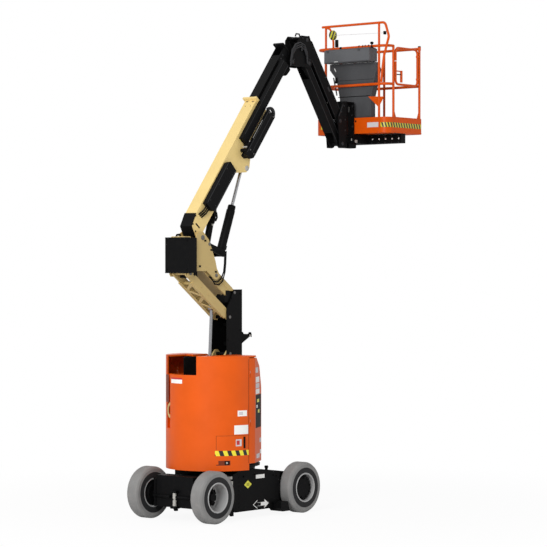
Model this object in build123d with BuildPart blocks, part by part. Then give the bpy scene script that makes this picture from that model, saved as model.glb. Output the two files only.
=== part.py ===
from build123d import *
import os
from math import cos, radians, sin, hypot, atan2, degrees

# Articulating boom lift on four solid tyres. Millimetres, +Z up, standing on z = 0.
# +X points from the steered wheels to the driven wheels and the platform, +Y to the left.
# The boom, jib and platform lie over the machine's centre plane, y = 0.

# ---- driving dimensions ----
tyre_radius = 317.5
tyre_width = 178
overall_width = 1220
wheelbase = 1650
platform_length = 760
platform_end = 3275
chassis_x = -(platform_end - wheelbase / 2 - tyre_radius) / 2
wheel_y = (overall_width - tyre_width) / 2
steer_x = chassis_x - wheelbase / 2
drive_x = chassis_x + wheelbase / 2
kingpin_y = 385
swing_x = chassis_x - 200


def on_chassis(x, z):
    """A point of the centre plane, from the chassis centre on the floor."""
    return (chassis_x + x, z)


def shift(point, dx, dz):
    """A point moved along X and Z."""
    return (point[0] + dx, point[1] + dz)


def along(point, angle, distance, below=0):
    """A point at a distance along a member of that angle, and below its line."""
    turn = radians(angle)
    return (point[0] + distance * cos(turn) + below * sin(turn),
            point[1] + distance * sin(turn) - below * cos(turn))


def span(start, end):
    """Length and angle of the line between two points."""
    return hypot(end[0] - start[0], end[1] - start[1]), degrees(atan2(end[1] - start[1], end[0] - start[0]))


# ---- tower: two parallelograms with an upright between them ----
lower_angle = 51.3
lower_length = 1033
lower_link_offset = (60, -125)
base_pin = on_chassis(-700, 1200)
base_link_pin = shift(base_pin, *lower_link_offset)
mid_low_pin = along(base_pin, lower_angle, lower_length)
mid_link_pin = shift(mid_low_pin, *lower_link_offset)
upper_angle = 144
upper_length = 925
upper_link_offset = (89, 302)
mid_arm_pin = shift(mid_low_pin, -6, 454)
mid_top_pin = shift(mid_arm_pin, *upper_link_offset)
top_arm_pin = along(mid_arm_pin, upper_angle, upper_length)
top_link_pin = shift(top_arm_pin, *upper_link_offset)
tower_cylinder_base = along(base_pin, lower_angle, 166, 335)
tower_cylinder_eye = shift(mid_arm_pin, -195, 114)

# ---- boom, telescope and lift cylinder ----
boom_angle = 52
boom_pivot = shift(top_arm_pin, 223, 434)
boom_top = -222
boom_bottom = 13
boom_half_width = 90
boom_front = 2050
fly_head = 2865
lift_base = shift(boom_pivot, 486, -196)
lift_eye = along(boom_pivot, boom_angle, 1235, 165)

# ---- jib: a parallelogram between the level knuckle and the platform support ----
jib_angle = -55.5
jib_length = 1220
jib_link_offset = (45, -297)
knuckle_pin = along(boom_pivot, boom_angle, fly_head)
jib_pin = shift(knuckle_pin, 288, 299)
jib_link_pin = shift(jib_pin, *jib_link_offset)
support_pin = along(jib_pin, jib_angle, jib_length)
support_link_pin = shift(support_pin, *jib_link_offset)
rotator_x = support_pin[0] + 189

# ---- platform ----
platform_x = (chassis_x + platform_end - platform_length, chassis_x + platform_end)
platform_half = 610
platform_mid = sum(platform_x) / 2
floor_z = support_pin[1] - 140
toe_top = floor_z + 196
mid_rail_z = floor_z + 631
top_rail_z = floor_z + 1131
guard_z = floor_z + 1433
rail_radius = 18

# ---- hood ----
hood_radius = 600
hood_top = 2000
hood_wall = 20
slot_half = 220
seam_x = swing_x - 40
hood_front = chassis_x + 200
flank_back = (chassis_x - 115, 589)
flank_front = (hood_front + 20, 405)
door_gap = 7
hinge_heights = (1165, 1760)

os.makedirs("parts", exist_ok=True)


def finish(piece, name):
    """Label a finished piece and write its file."""
    piece.part.label = name
    export_step(piece.part, f"parts/{name}.step")


def outline(points):
    """A flat face in the XZ plane from corner points."""
    with BuildSketch(Plane.XZ) as face:
        with BuildLine():
            Polyline(*points, close=True)
        make_face()
    return face.sketch


def slot_face(start, end, radius):
    """A bar's face with round ends about two pins."""
    length, angle = span(start, end)
    with BuildSketch(Plane.XZ) as face:
        with Locations(Location(((start[0] + end[0]) / 2, (start[1] + end[1]) / 2), angle)):
            SlotCenterToCenter(length, 2 * radius)
    return face.sketch


def pair(face, inner, outer, mode=Mode.ADD):
    """Extrude a face of the centre plane into two plates, one each side."""
    for side in (1, -1):
        moved = face.moved(Location((0, -side * inner, 0)))
        extrude(moved, amount=side * (outer - inner), mode=mode)


def slab(face, half, mode=Mode.ADD):
    """Extrude a face of the centre plane equally to both sides."""
    extrude(face, amount=half, both=True, mode=mode)


def cross_pin(point, radius, half, mode=Mode.ADD):
    """A round pin or bore across the machine at a point of the centre plane."""
    with Locations((point[0], 0, point[1])):
        Cylinder(radius, 2 * half, rotation=(90, 0, 0), mode=mode)


def bosses(point, radius, inner, outer):
    """Two short round bosses, one each side."""
    with Locations((point[0], -(inner + outer) / 2, point[1]), (point[0], (inner + outer) / 2, point[1])):
        Cylinder(radius, outer - inner, rotation=(90, 0, 0))


def boom_points(pairs):
    """Points given along the boom and below its pivot line."""
    return [along(boom_pivot, boom_angle, s, t) for s, t in pairs]


def jib_points(pairs):
    """Points given along the jib and above its pin line."""
    return [along(jib_pin, jib_angle, s, -n) for s, n in pairs]


pin_radius = 20
running_clearance = 0.08
bore_radius = pin_radius + running_clearance

# ================= chassis =================
middle_side = [(-400, 130), (-360, 94), (480, 94), (480, 545), (220, 578), (60, 598), (-300, 598), (-340, 575),
               (-400, 560)]
rear_side = [(480, 100), (1000, 160), (1000, 480), (589, 531), (480, 545)]
neck_side = [(-740, 180), (-400, 150), (-400, 560), (-740, 500)]
wheel_step = [(362, 92), (400, 52), (535, 52), (505, 120), (500, 172), (362, 172)]
tie_lug = [(-440, 80), (-425, 52), (-380, 52), (-380, 210), (-440, 210)]

with BuildPart() as chassis_frame:
    for side_points, half_width in ((middle_side, 480), (rear_side, 415), (neck_side, 165)):
        slab(outline([on_chassis(x, z) for x, z in side_points]), half_width)
    pair(outline([on_chassis(x, z) for x, z in wheel_step]), 400, 600)
    pair(outline([on_chassis(x, z) for x, z in tie_lug]), 445, 470)
    with Locations((drive_x, 0, tyre_radius)):
        Cylinder(110, 2 * 440, rotation=(90, 0, 0))
finish(chassis_frame, "chassis_frame")

ear_low = (168, 193)
ear_high = (475, 500)
with BuildPart() as steer_axle:
    with Locations((steer_x - 10, 0, 360)):
        Box(190, 600, 380)
    for side in (-1, 1):
        with Locations((steer_x, side * 315, 334)):
            Box(230, 30, 332)
        for low, high in (ear_low, ear_high):
            with Locations((steer_x, side * 357, (low + high) / 2)):
                Box(90, 56, high - low)
            with Locations((steer_x, side * kingpin_y, (low + high) / 2)):
                Cylinder(45, high - low)
        with Locations((steer_x, side * kingpin_y, 334)):
            Cylinder(15, 332)
finish(steer_axle, "steer_axle")

for label, side in (("steer_knuckle_left", 1), ("steer_knuckle_right", -1)):
    with BuildPart() as knuckle:
        with Locations((steer_x, side * kingpin_y, tyre_radius + 16.5)):
            Cylinder(34, 272)
        with Locations((steer_x, side * (kingpin_y + 70), tyre_radius)):
            Cylinder(30, 140, rotation=(90, 0, 0))
        with Locations((steer_x, side * kingpin_y, 334)):
            Cylinder(15 + running_clearance, 300, mode=Mode.SUBTRACT)
    finish(knuckle, label)

wheels = [  # name, x, side, steered
    ("steer_left", steer_x, 1, True),
    ("steer_right", steer_x, -1, True),
    ("drive_left", drive_x, 1, False),
    ("drive_right", drive_x, -1, False),
]
half = tyre_width / 2
for name, x, side, steered in wheels:
    wheel_plane = Plane(origin=(x, side * wheel_y, tyre_radius), x_dir=(1, 0, 0), z_dir=(0, 0, 1))
    tyre_profile = [(180, -half), (285, -half), (tyre_radius - 10, -half + 12), (tyre_radius, -half + 30),
                    (tyre_radius, half - 30), (tyre_radius - 10, half - 12), (285, half), (180, half)]
    with BuildPart() as tyre:
        with BuildSketch(wheel_plane):
            with BuildLine():
                Polyline(*tyre_profile, close=True)
            make_face()
        revolve(axis=Axis((x, side * wheel_y, tyre_radius), (0, 1, 0)))
    finish(tyre, f"tyre_{name}")
    inward = -side
    bore = 30 + running_clearance if steered else 0
    disc = inward * 67
    with BuildPart() as rim:
        with BuildSketch(wheel_plane):
            with BuildLine():
                Polyline((165, -half), (180, -half), (180, half), (165, half), close=True)
            make_face()
            with BuildLine():
                Polyline((76, disc - 7), (165, disc - 7), (165, disc + 7), (76, disc + 7), close=True)
            make_face()
        revolve(axis=Axis((x, side * wheel_y, tyre_radius), (0, 1, 0)))
    finish(rim, f"rim_{name}")
    hub_out = -side * 20 if steered else side * 62
    hub_in = inward * 80 if steered else inward * 76
    hub_radius = 76 if steered else 150
    with BuildPart() as hub:
        with BuildSketch(wheel_plane):
            if steered:
                with BuildLine():
                    Polyline((bore, hub_in), (76, hub_in), (76, hub_out), (50, side * 15), (0, side * 15),
                             (0, side * 10), (bore, side * 10), close=True)
                make_face()
            else:
                with BuildLine():
                    Polyline((0, hub_in), (76, hub_in), (76, disc + side * 7), (hub_radius, disc + side * 7),
                             (hub_radius, hub_out - side * 15), (hub_radius - 20, hub_out), (0, hub_out), close=True)
                make_face()
        revolve(axis=Axis((x, side * wheel_y, tyre_radius), (0, 1, 0)))
    finish(hub, f"hub_{name}")

with BuildPart() as swing_bearing:
    with Locations((swing_x, 0, 617.5)):
        Cylinder(300, 35)
finish(swing_bearing, "swing_bearing")

# ================= turntable =================
skirt_low = 607
deck_low = 641
deck_top = 668
with BuildPart() as turntable_base:
    with Locations((swing_x, 0, (deck_low + deck_top) / 2)):
        Cylinder(560, deck_top - deck_low)
    with BuildSketch(Plane.XY.offset(skirt_low)):
        with Locations((swing_x, 0)):
            Circle(500)
            Circle(320, mode=Mode.SUBTRACT)
    extrude(amount=deck_low - skirt_low)
    tower_foot = [(-748, deck_top), (-540, deck_top), (-570, 1040), (-640, 1250), (-700, 1258), (-748, 1235)]
    pair(outline([on_chassis(x, z) for x, z in tower_foot]), 138, 150)
    cross_pin(base_pin, pin_radius, 150)
    cross_pin(base_link_pin, pin_radius, 150)
finish(turntable_base, "turntable_base")


wall_bottom = 690
cowl_bottom = 610
notch_z = 1770
notch_near = 205
groove_far = 330
groove_x = swing_x - 455
groove_low = 1100
front_x = hood_front - chassis_x
brow = (front_x - 100, 1860)
front_slant = [(front_x, wall_bottom), (front_x, 1600), brow, (-100, hood_top), (-130, hood_top),
               (brow[0] - 18, brow[1] - 14), (front_x - 22, 1594), (front_x - 22, wall_bottom)]
ahead_of_front = [(front_x, 500), (front_x, 1600), brow, (-103, 2010), (500, 2010), (500, 500)]


def hood_plan(inset):
    """The hood seen from above: a circle whose flanks are cut flat towards the front."""
    slope = (flank_back[1] - flank_front[1]) / (flank_front[0] - flank_back[0])
    front_y = flank_front[1] - inset * hypot(1, slope)
    tail_x = swing_x - hood_radius - 100
    tail_y = front_y + slope * (flank_front[0] - tail_x)
    with BuildSketch() as plan:
        with Locations((swing_x, 0)):
            Circle(hood_radius - inset)
        with BuildLine():
            Polyline((tail_x, -tail_y), (flank_front[0], -front_y), (flank_front[0], front_y), (tail_x, tail_y), close=True)
        make_face(mode=Mode.INTERSECT)
    return plan.sketch


behind_seam = [(-810, cowl_bottom), (-240, cowl_bottom), (-240, hood_top), (-810, hood_top)]
with BuildPart() as tail_cowl:
    with BuildSketch(Plane.XY.offset(cowl_bottom)):
        with Locations((swing_x, 0)):
            Circle(hood_radius)
            Circle(hood_radius - hood_wall, mode=Mode.SUBTRACT)
    extrude(amount=hood_top - cowl_bottom)
    slab(outline([on_chassis(x, z) for x, z in behind_seam]), 700, mode=Mode.INTERSECT)
    with BuildSketch(Plane.XY.offset(hood_top - hood_wall)):
        with Locations((swing_x, 0)):
            Circle(hood_radius)
    extrude(amount=hood_wall)
    with BuildSketch(Plane.XY.offset(deck_top)):
        for side in (-1, 1):
            with Locations((swing_x - 70, side * (slot_half + 8))):
                Rectangle(940, 16)
        with Locations((swing_x, 0)):
            Circle(hood_radius - 5, mode=Mode.INTERSECT)
    extrude(amount=hood_top - deck_top)
    groove_mid = (slot_half + 16 + groove_far) / 2
    groove_wide = groove_far - slot_half - 16
    with Locations((groove_x - 100, groove_mid, (groove_low + hood_top) / 2)):
        Box(200, groove_wide, hood_top - groove_low, mode=Mode.SUBTRACT)
    with Locations((groove_x + 4, groove_mid, (groove_low + notch_z) / 2)):
        Box(8, groove_wide + 12, notch_z - groove_low)
    with Locations((groove_x - 70, groove_mid, groove_low + 4)):
        Box(156, groove_wide, 8)
    with Locations((groove_x - 70, groove_far + 3, (groove_low + notch_z) / 2)):
        Box(156, 6, notch_z - groove_low)
    slab(outline([on_chassis(x, z) for x, z in front_slant]), 560)
    slab(outline([on_chassis(x, z) for x, z in ahead_of_front]), 700, mode=Mode.SUBTRACT)
    with BuildSketch(Plane.XY.offset(cowl_bottom)):
        add(hood_plan(0))
    extrude(amount=hood_top - cowl_bottom, mode=Mode.INTERSECT)
    with Locations((swing_x + 200, 0, 1300)):
        Box(1000, 2 * slot_half, 1500, mode=Mode.SUBTRACT)
    with Locations((swing_x - 500, (groove_far - notch_near) / 2, notch_z + 200)):
        Box(700, groove_far + notch_near, 400, mode=Mode.SUBTRACT)
    with BuildSketch(Plane.XY.offset(cowl_bottom)):
        with Locations((seam_x + 300, 0)):
            Rectangle(600, 2 * hood_radius + 20)
        add(hood_plan(hood_wall + door_gap), mode=Mode.SUBTRACT)
    extrude(amount=hood_top - hood_wall - cowl_bottom, mode=Mode.SUBTRACT)
    for side in (-1, 1):
        for z in hinge_heights:
            with Locations((seam_x, side * hood_radius, z + 41)):
                Box(28, 60, 42, mode=Mode.SUBTRACT)
            with Locations((seam_x, side * (hood_radius - 2), z)):
                Cylinder(7, 40)
            with Locations((seam_x, side * (hood_radius - 2), z + 20 + 20)):
                Cylinder(4, 40)
finish(tail_cowl, "tail_cowl")

for label, side in (("side_door_left", 1), ("side_door_right", -1)):
    with BuildPart() as side_door:
        with BuildSketch(Plane.XY.offset(wall_bottom)):
            add(hood_plan(0))
            add(hood_plan(hood_wall), mode=Mode.SUBTRACT)
            with Locations((seam_x + 5 + 300, side * 600)):
                Rectangle(600, 2 * 230, mode=Mode.INTERSECT)
        extrude(amount=hood_top - 30 - wall_bottom)
        slab(outline([on_chassis(x + 1, z) for x, z in ahead_of_front]), 700, mode=Mode.SUBTRACT)
        for z in hinge_heights:
            with Locations((seam_x + 4, side * (hood_radius - 6), z + 20)):
                Box(30, 40, 90, mode=Mode.SUBTRACT)
            with Locations((seam_x, side * (hood_radius - 2), z + 40 + 1)):
                Cylinder(7, 38)
            with Locations((seam_x + 10, side * (hood_radius - 4), z + 41)):
                Box(20, 8, 38)
            with Locations((seam_x, side * (hood_radius - 2), z + 41)):
                Cylinder(4 + running_clearance, 38, mode=Mode.SUBTRACT)
    finish(side_door, label)

for label, side in (("battery_left", 1), ("battery_right", -1)):
    with BuildPart() as battery:
        with Locations((swing_x - 50, side * 360, deck_top + 260)):
            Box(500, 210, 520)
    finish(battery, label)

# ================= tower =================
with BuildPart() as lower_arm:
    pair(slot_face(base_pin, mid_low_pin, 52), 90, 112)
    bracket = [along(base_pin, lower_angle, s, t) for s, t in (
        (135, 0), (420, 0), (420, 50), (215, 365), (166, 385), (128, 365), (128, 320))]
    pair(outline(bracket), 90, 112)
    cross_pin(along(base_pin, lower_angle, 170), 24, 100)
    cross_pin(tower_cylinder_base, pin_radius, 112)
    cross_pin(base_pin, bore_radius, 130, mode=Mode.SUBTRACT)
    cross_pin(mid_low_pin, bore_radius, 130, mode=Mode.SUBTRACT)
finish(lower_arm, "lower_arm")

with BuildPart() as lower_link:
    pair(slot_face(base_link_pin, mid_link_pin, 28), 56, 74)
    cross_pin(along(base_link_pin, lower_angle, 150), 18, 65)
    cross_pin(base_link_pin, bore_radius, 130, mode=Mode.SUBTRACT)
    cross_pin(mid_link_pin, bore_radius, 130, mode=Mode.SUBTRACT)
finish(lower_link, "lower_link")

mast_plate = [(-116, 1835), (169, 1835), (169, 2800), (21, 2800), (-116, 2556)]
hook_plate = [(165, 2090), (240, 2130), (400, 2215), (420, 2200), (420, 2245), (360, 2245), (330, 2225),
              (270, 2245), (165, 2245)]
with BuildPart() as mid_upright:
    pair(outline([on_chassis(x, z) for x, z in mast_plate]), 118, 130)
    with Locations((chassis_x + 163, 0, (1835 + 2640) / 2)):
        Box(12, 260, 2640 - 1835)
    pair(outline([on_chassis(x, z) for x, z in hook_plate]), 60, 72)
    for pivot in (mid_low_pin, mid_link_pin, mid_arm_pin):
        cross_pin(pivot, pin_radius, 130)
    bosses(mid_top_pin, pin_radius, 88, 130)
finish(mid_upright, "mid_upright")

with BuildPart() as upper_arm:
    pair(slot_face(mid_arm_pin, top_arm_pin, 42), 90, 112)
    wide = [along(mid_arm_pin, upper_angle, s, t) for s, t in ((60, -60), (800, -60), (800, 60), (60, 60))]
    pair(outline(wide), 90, 112)
    for distance in (400, 560, 720):
        cross_pin(along(mid_arm_pin, upper_angle, distance), 24, 100)
    bosses(tower_cylinder_eye, pin_radius, 60, 100)
    cross_pin(mid_arm_pin, bore_radius, 130, mode=Mode.SUBTRACT)
    cross_pin(top_arm_pin, bore_radius, 130, mode=Mode.SUBTRACT)
finish(upper_arm, "upper_arm")

with BuildPart() as upper_link:
    pair(slot_face(mid_top_pin, top_link_pin, 30), 90, 112)
    cross_pin(along(mid_top_pin, upper_angle, 830), 18, 100)
    cross_pin(mid_top_pin, bore_radius, 130, mode=Mode.SUBTRACT)
    cross_pin(top_link_pin, bore_radius, 130, mode=Mode.SUBTRACT)
finish(upper_link, "upper_link")

head_plate = [(-860, 3395), (-860, 2990), (-840, 2962), (-775, 2962), (-735, 3031), (-511, 3031), (-371, 2930),
              (-320, 2925), (-265, 2968), (-324, 3060), (-354, 3163), (-471, 3412), (-575, 3508), (-639, 3511),
              (-691, 3479), (-705, 3395)]
bracket_start = shift(boom_pivot, 118, -76)
with BuildPart() as top_upright:
    pair(outline([on_chassis(x, z) for x, z in head_plate]), 138, 150)
    for pivot in (top_arm_pin, top_link_pin, boom_pivot):
        cross_pin(pivot, pin_radius, 150)
    cross_pin(bracket_start, 22, 145)
finish(top_upright, "top_upright")

lift_ear = [shift(boom_pivot, 66, -95), shift(boom_pivot, 150, -42), shift(lift_base, 14, 41),
            shift(lift_base, 34, -24), shift(lift_base, -16, -39)]
with BuildPart() as lift_bracket:
    pair(outline(lift_ear), 54, 74)
    cross_pin(lift_base, pin_radius, 74)
    cross_pin(bracket_start, 22, 74, mode=Mode.SUBTRACT)
finish(lift_bracket, "lift_bracket")

with BuildPart() as tail_weight:
    with BuildSketch(Plane.XY.offset(3010)):
        with Locations((chassis_x - 813.5, 0)):
            Rectangle(153, 380)
        with Locations((chassis_x - 793.5, 0)):
            Rectangle(153 - 6, 300, mode=Mode.SUBTRACT)
    extrude(amount=425)
finish(tail_weight, "tail_weight")

boom_rod_radius = 20
jib_rod_radius = 20
tower_tilt = span(tower_cylinder_base, tower_cylinder_eye)[1]
lift_tilt = span(lift_base, lift_eye)[1]


def cylinder_barrel(base, angle, radius, bore, tube_length, half_eye):
    """A cylinder's barrel about its base pin, lying along the given angle."""
    line = Plane(origin=(base[0], 0, base[1]), x_dir=(0, 1, 0),
                 z_dir=(cos(radians(angle)), 0, sin(radians(angle))))
    with BuildSketch(line.offset(30)) as ring:
        Circle(radius)
    extrude(ring.sketch, amount=tube_length - 30)
    cross_pin(base, 36, half_eye)
    with BuildSketch(line.offset(60)) as hole:
        Circle(bore)
    extrude(hole.sketch, amount=tube_length, mode=Mode.SUBTRACT)
    cross_pin(base, bore_radius, half_eye + 5, mode=Mode.SUBTRACT)


def cylinder_rod(eye, base, angle, radius, start, half_eye, eye_radius):
    """A cylinder's rod from inside its barrel to its eye."""
    length = span(base, eye)[0]
    line = Plane(origin=(base[0], 0, base[1]), x_dir=(0, 1, 0),
                 z_dir=(cos(radians(angle)), 0, sin(radians(angle))))
    with BuildSketch(line.offset(start)) as ring:
        Circle(radius)
    extrude(ring.sketch, amount=length - start)
    cross_pin(eye, eye_radius, half_eye)
    cross_pin(eye, bore_radius, half_eye + 5, mode=Mode.SUBTRACT)


with BuildPart() as tower_barrel:
    cylinder_barrel(tower_cylinder_base, tower_tilt, 50, boom_rod_radius + running_clearance, 800, 50)
finish(tower_barrel, "tower_barrel")
with BuildPart() as tower_rod:
    cylinder_rod(tower_cylinder_eye, tower_cylinder_base, tower_tilt, boom_rod_radius, 690, 30, 34)
finish(tower_rod, "tower_rod")

with BuildPart() as lift_barrel:
    cylinder_barrel(lift_base, lift_tilt, 46, boom_rod_radius + running_clearance, 640, 50)
finish(lift_barrel, "lift_barrel")
with BuildPart() as lift_rod:
    cylinder_rod(lift_eye, lift_base, lift_tilt, boom_rod_radius, 490, 30, 34)
finish(lift_rod, "lift_rod")

# ================= boom =================
boom_wall = 8
boom_profile = [(200, boom_top), (30, -190), (-32, -60), (-40, boom_bottom), (boom_front, boom_bottom),
                (boom_front, boom_top)]
boom_hollow = [(-60, boom_top + boom_wall), (-60, boom_bottom - boom_wall), (boom_front + 50, boom_bottom - boom_wall),
               (boom_front + 50, boom_top + boom_wall)]
eye_ear = [(1030, boom_bottom - 5), (1190, 190), (1270, 200), (1360, 150), (1540, boom_bottom - 5)]
flange_lip = [(boom_front - 25, -262), (boom_front, -262), (boom_front, -195), (boom_front - 25, -195)]
flange = [(boom_front - 25, -262), (boom_front, -262), (boom_front, 25), (boom_front - 25, 25)]
with BuildPart() as boom_tube:
    slab(outline(boom_points(boom_profile)), boom_half_width)
    with BuildSketch(Plane.XZ) as rear:
        with Locations(boom_pivot):
            Circle(58)
    slab(rear.sketch, boom_half_width)
    slab(outline(boom_points(flange)), boom_half_width + 4)
    slab(outline(boom_points(flange_lip)), 112)
    slab(outline(boom_points(boom_hollow)), boom_half_width - boom_wall, mode=Mode.SUBTRACT)
    slab(outline(boom_points([(-100, 10), (100, 10), (100, 80), (-100, 80)])), boom_half_width - boom_wall,
         mode=Mode.SUBTRACT)
    pair(outline(boom_points(eye_ear)), 70, boom_half_width)
    bosses(lift_eye, 30, 42, 70)
    bosses(boom_pivot, 45, boom_half_width, 133)
    cross_pin(boom_pivot, bore_radius, 160, mode=Mode.SUBTRACT)
finish(boom_tube, "boom_tube")

cap_profile = [(200, boom_top), (30, -190), (-32, -60), (-44, -64), (20, -200), (198, -234)]
with BuildPart() as boom_end_cap:
    slab(outline(boom_points(cap_profile)), boom_half_width + 2)
finish(boom_end_cap, "boom_end_cap")

lower_trough = [(370, -205), (1010, -205), (1060, -170), (1040, -15), (400, -15), (370, -60)]
outer_trough = [(1270, -62), (2000, -62), (2000, 82), (1330, 82), (1290, 50)]
with BuildPart() as hose_box:
    extrude(outline(boom_points(lower_trough)).moved(Location((0, -boom_half_width, 0))), amount=60)
finish(hose_box, "hose_box")

with BuildPart() as hose_trough:
    extrude(outline(boom_points(outer_trough)).moved(Location((0, -boom_half_width - 76, 0))), amount=44)
    extrude(outline(boom_points([(1290, -15), (1380, -15), (1380, 40), (1290, 40)]))
            .moved(Location((0, -boom_half_width, 0))), amount=80)
finish(hose_trough, "hose_trough")

with BuildPart() as hose_chain:
    with BuildSketch(Plane.XZ) as loop:
        with Locations(along(boom_pivot, boom_angle, 1990, 0)):
            Circle(82)
            Circle(50, mode=Mode.SUBTRACT)
    half_loop = outline(boom_points([(2005, -150), (2120, -150), (2120, 150), (2005, 150)]))
    extrude(loop.sketch.moved(Location((0, -boom_half_width - 82, 0))), amount=32)
    extrude(half_loop.moved(Location((0, -boom_half_width - 82, 0))), amount=32, mode=Mode.INTERSECT)
finish(hose_chain, "hose_chain")

fly_top = boom_top + 16
fly_bottom = boom_bottom - 16
fly_profile = [(400, fly_top), (2800, fly_top), (2800, fly_bottom), (400, fly_bottom)]
fly_hollow = [(390, fly_top + 8), (2790, fly_top + 8), (2790, fly_bottom - 8), (390, fly_bottom - 8)]
fly_ear = [(2740, fly_top), (2960, fly_top), (2960, -100), (2910, 30), (2865, 45), (2820, 30), (2740, fly_bottom)]
fly_head_plate = [(2935, -262), (2960, -262), (2960, -110), (2935, -110)]
with BuildPart() as fly_tube:
    slab(outline(boom_points(fly_profile)), boom_half_width - 16)
    slab(outline(boom_points(fly_hollow)), boom_half_width - 24, mode=Mode.SUBTRACT)
    pair(outline(boom_points(fly_ear)), 58, 74)
    slab(outline(boom_points(fly_head_plate)), 82)
    cross_pin(knuckle_pin, bore_radius, 100, mode=Mode.SUBTRACT)
finish(fly_tube, "fly_tube")

tube_rear = 1430
tube_front = 2735
with BuildPart() as hose_tube:
    extrude(outline(boom_points([(tube_rear, -185), (tube_front, -185), (tube_front, -70), (tube_rear, -70)]))
            .moved(Location((0, -boom_half_width - 6, 0))), amount=58)
    extrude(outline(boom_points([(2670, -180), (2720, -180), (2720, -75), (2670, -75)]))
            .moved(Location((0, -boom_half_width + 16, 0))), amount=30)
finish(hose_tube, "hose_tube")

# ================= jib =================
knuckle_plate = [shift(knuckle_pin, x, z) for x, z in (
    (-45, 0), (-40, 60), (128, 215), (128, 290), (175, 350), (288, 350), (337, 358), (362, 306), (345, 250),
    (395, 10), (370, -40), (320, -50), (0, -48), (-35, -35))]
with BuildPart() as jib_base:
    pair(outline(knuckle_plate), 100, 112)
    cross_pin(knuckle_pin, pin_radius, 112)
    bosses(knuckle_pin, 40, 79, 105)
    bosses(jib_pin, pin_radius, 42, 112)
    cross_pin(jib_link_pin, pin_radius, 112)
    cross_pin(shift(knuckle_pin, 196, 318), 18, 105)
finish(jib_base, "jib_base")

arm_side = [(0, -50), (jib_length, -50), (jib_length, 50), (1120, 100), (80, 100), (0, 50)]
with BuildPart() as jib_arm:
    pair(outline(jib_points(arm_side)), 80, 95)
    pair(slot_face(jib_pin, support_pin, 50), 80, 95)
    slab(outline(jib_points([(150, 88), (1080, 88), (1080, 100), (150, 100)])), 90)
    cross_pin(jib_pin, bore_radius, 120, mode=Mode.SUBTRACT)
    cross_pin(support_pin, bore_radius, 120, mode=Mode.SUBTRACT)
finish(jib_arm, "jib_arm")

link_web = [along(jib_link_pin, jib_angle, s, t) for s, t in ((200, 43), (1020, 43), (1020, 53), (200, 53))]
with BuildPart() as jib_link:
    pair(slot_face(jib_link_pin, support_link_pin, 53), 56, 72)
    slab(outline(link_web), 65)
    cross_pin(jib_link_pin, bore_radius, 120, mode=Mode.SUBTRACT)
    cross_pin(support_link_pin, bore_radius, 120, mode=Mode.SUBTRACT)
finish(jib_link, "jib_link")

jib_cylinder_tilt = span(jib_link_pin, support_pin)[1]
with BuildPart() as jib_barrel:
    cylinder_barrel(jib_link_pin, jib_cylinder_tilt, 36, jib_rod_radius + running_clearance, 780, 40)
finish(jib_barrel, "jib_barrel")
with BuildPart() as jib_rod:
    cylinder_rod(support_pin, jib_link_pin, jib_cylinder_tilt, jib_rod_radius, 150, 28, 34)
finish(jib_rod, "jib_rod")

support_x, support_z = support_pin
housing_low = support_z - 180
housing_high = support_z + 240
pocket = (18, 76, 170)
support_plate = [(-50, 10), (-45, 60), (60, 240), (130, 240), (130, -170), (95, -350), (-5, -350), (-15, -250)]
with BuildPart() as jib_support:
    pair(outline([shift(support_pin, x, z) for x, z in support_plate]), 100, 112)
    bosses(support_pin, pin_radius, 42, 112)
    cross_pin(support_link_pin, pin_radius, 112)
    with Locations((rotator_x - 75, 0, (housing_low + housing_high) / 2)):
        Box(40, 212, housing_high - housing_low)
    with Locations((rotator_x, 0, (housing_low + housing_high) / 2)):
        Cylinder(75, housing_high - housing_low)
    # a shallow pocket behind the rod eye, which swings close to the housing
    with Locations((rotator_x - 95 + pocket[0] / 2, 0, support_z - 105)):
        Box(*pocket, mode=Mode.SUBTRACT)
finish(jib_support, "jib_support")

# ================= platform =================
plate_x = platform_x[0] - 23
beam_low = floor_z - 139
beam_high = floor_z - 12
with BuildPart() as platform_bracket:
    for low, high in ((housing_high + 5, housing_high + 25), (housing_low - 25, housing_low - 5)):
        with Locations((rotator_x, 0, (low + high) / 2)):
            Cylinder(80, high - low)
        with Locations((rotator_x + 80, 0, (low + high) / 2)):
            Box(160, 110, high - low)
    with Locations((plate_x, 0, (beam_low + housing_high + 25) / 2)):
        Box(16, 150, housing_high + 25 - beam_low)
    with Locations((rotator_x, 0, housing_low - 95)):
        Cylinder(58, 140)
    with Locations((plate_x + 200, 0, (beam_low + beam_high) / 2)):
        Box(400, 90, beam_high - beam_low)
    with Locations((platform_mid, 0, (beam_low + beam_high) / 2)):
        Box(90, 1180, beam_high - beam_low)
finish(platform_bracket, "platform_bracket")

corner = 110
rear_corner = 12


def tray_face(shrink, z):
    """The platform's plan at a height: wide bends at the front corners, tight ones at the rear."""
    with BuildSketch(Plane.XY) as plan:
        with Locations((platform_mid, 0)):
            Rectangle(platform_length - 2 * shrink, 2 * (platform_half - shrink))
        fillet(plan.vertices().group_by(Axis.X)[0], corner - shrink)
        fillet(plan.vertices().group_by(Axis.X)[-1], rear_corner - shrink)
    return plan.sketch.moved(Location((0, 0, z)))


toe_wall = 6
with BuildPart() as platform_floor:
    extrude(tray_face(0, beam_high), amount=toe_top - beam_high)
    extrude(tray_face(toe_wall, floor_z), amount=toe_top - floor_z, mode=Mode.SUBTRACT)
    extrude(tray_face(toe_wall, beam_high), amount=floor_z - 6 - beam_high, mode=Mode.SUBTRACT)
    with Locations((platform_mid, 0, (beam_high + floor_z - 3) / 2)):
        Box(700, 60, floor_z - 3 - beam_high)
finish(platform_floor, "platform_floor")

inset = toe_wall + rail_radius - 2
rail_x = (platform_x[0] + inset, platform_x[1] - inset)
rail_y = platform_half - inset
gate_x = (rail_x[0] + 190, rail_x[1] - 45)


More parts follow.
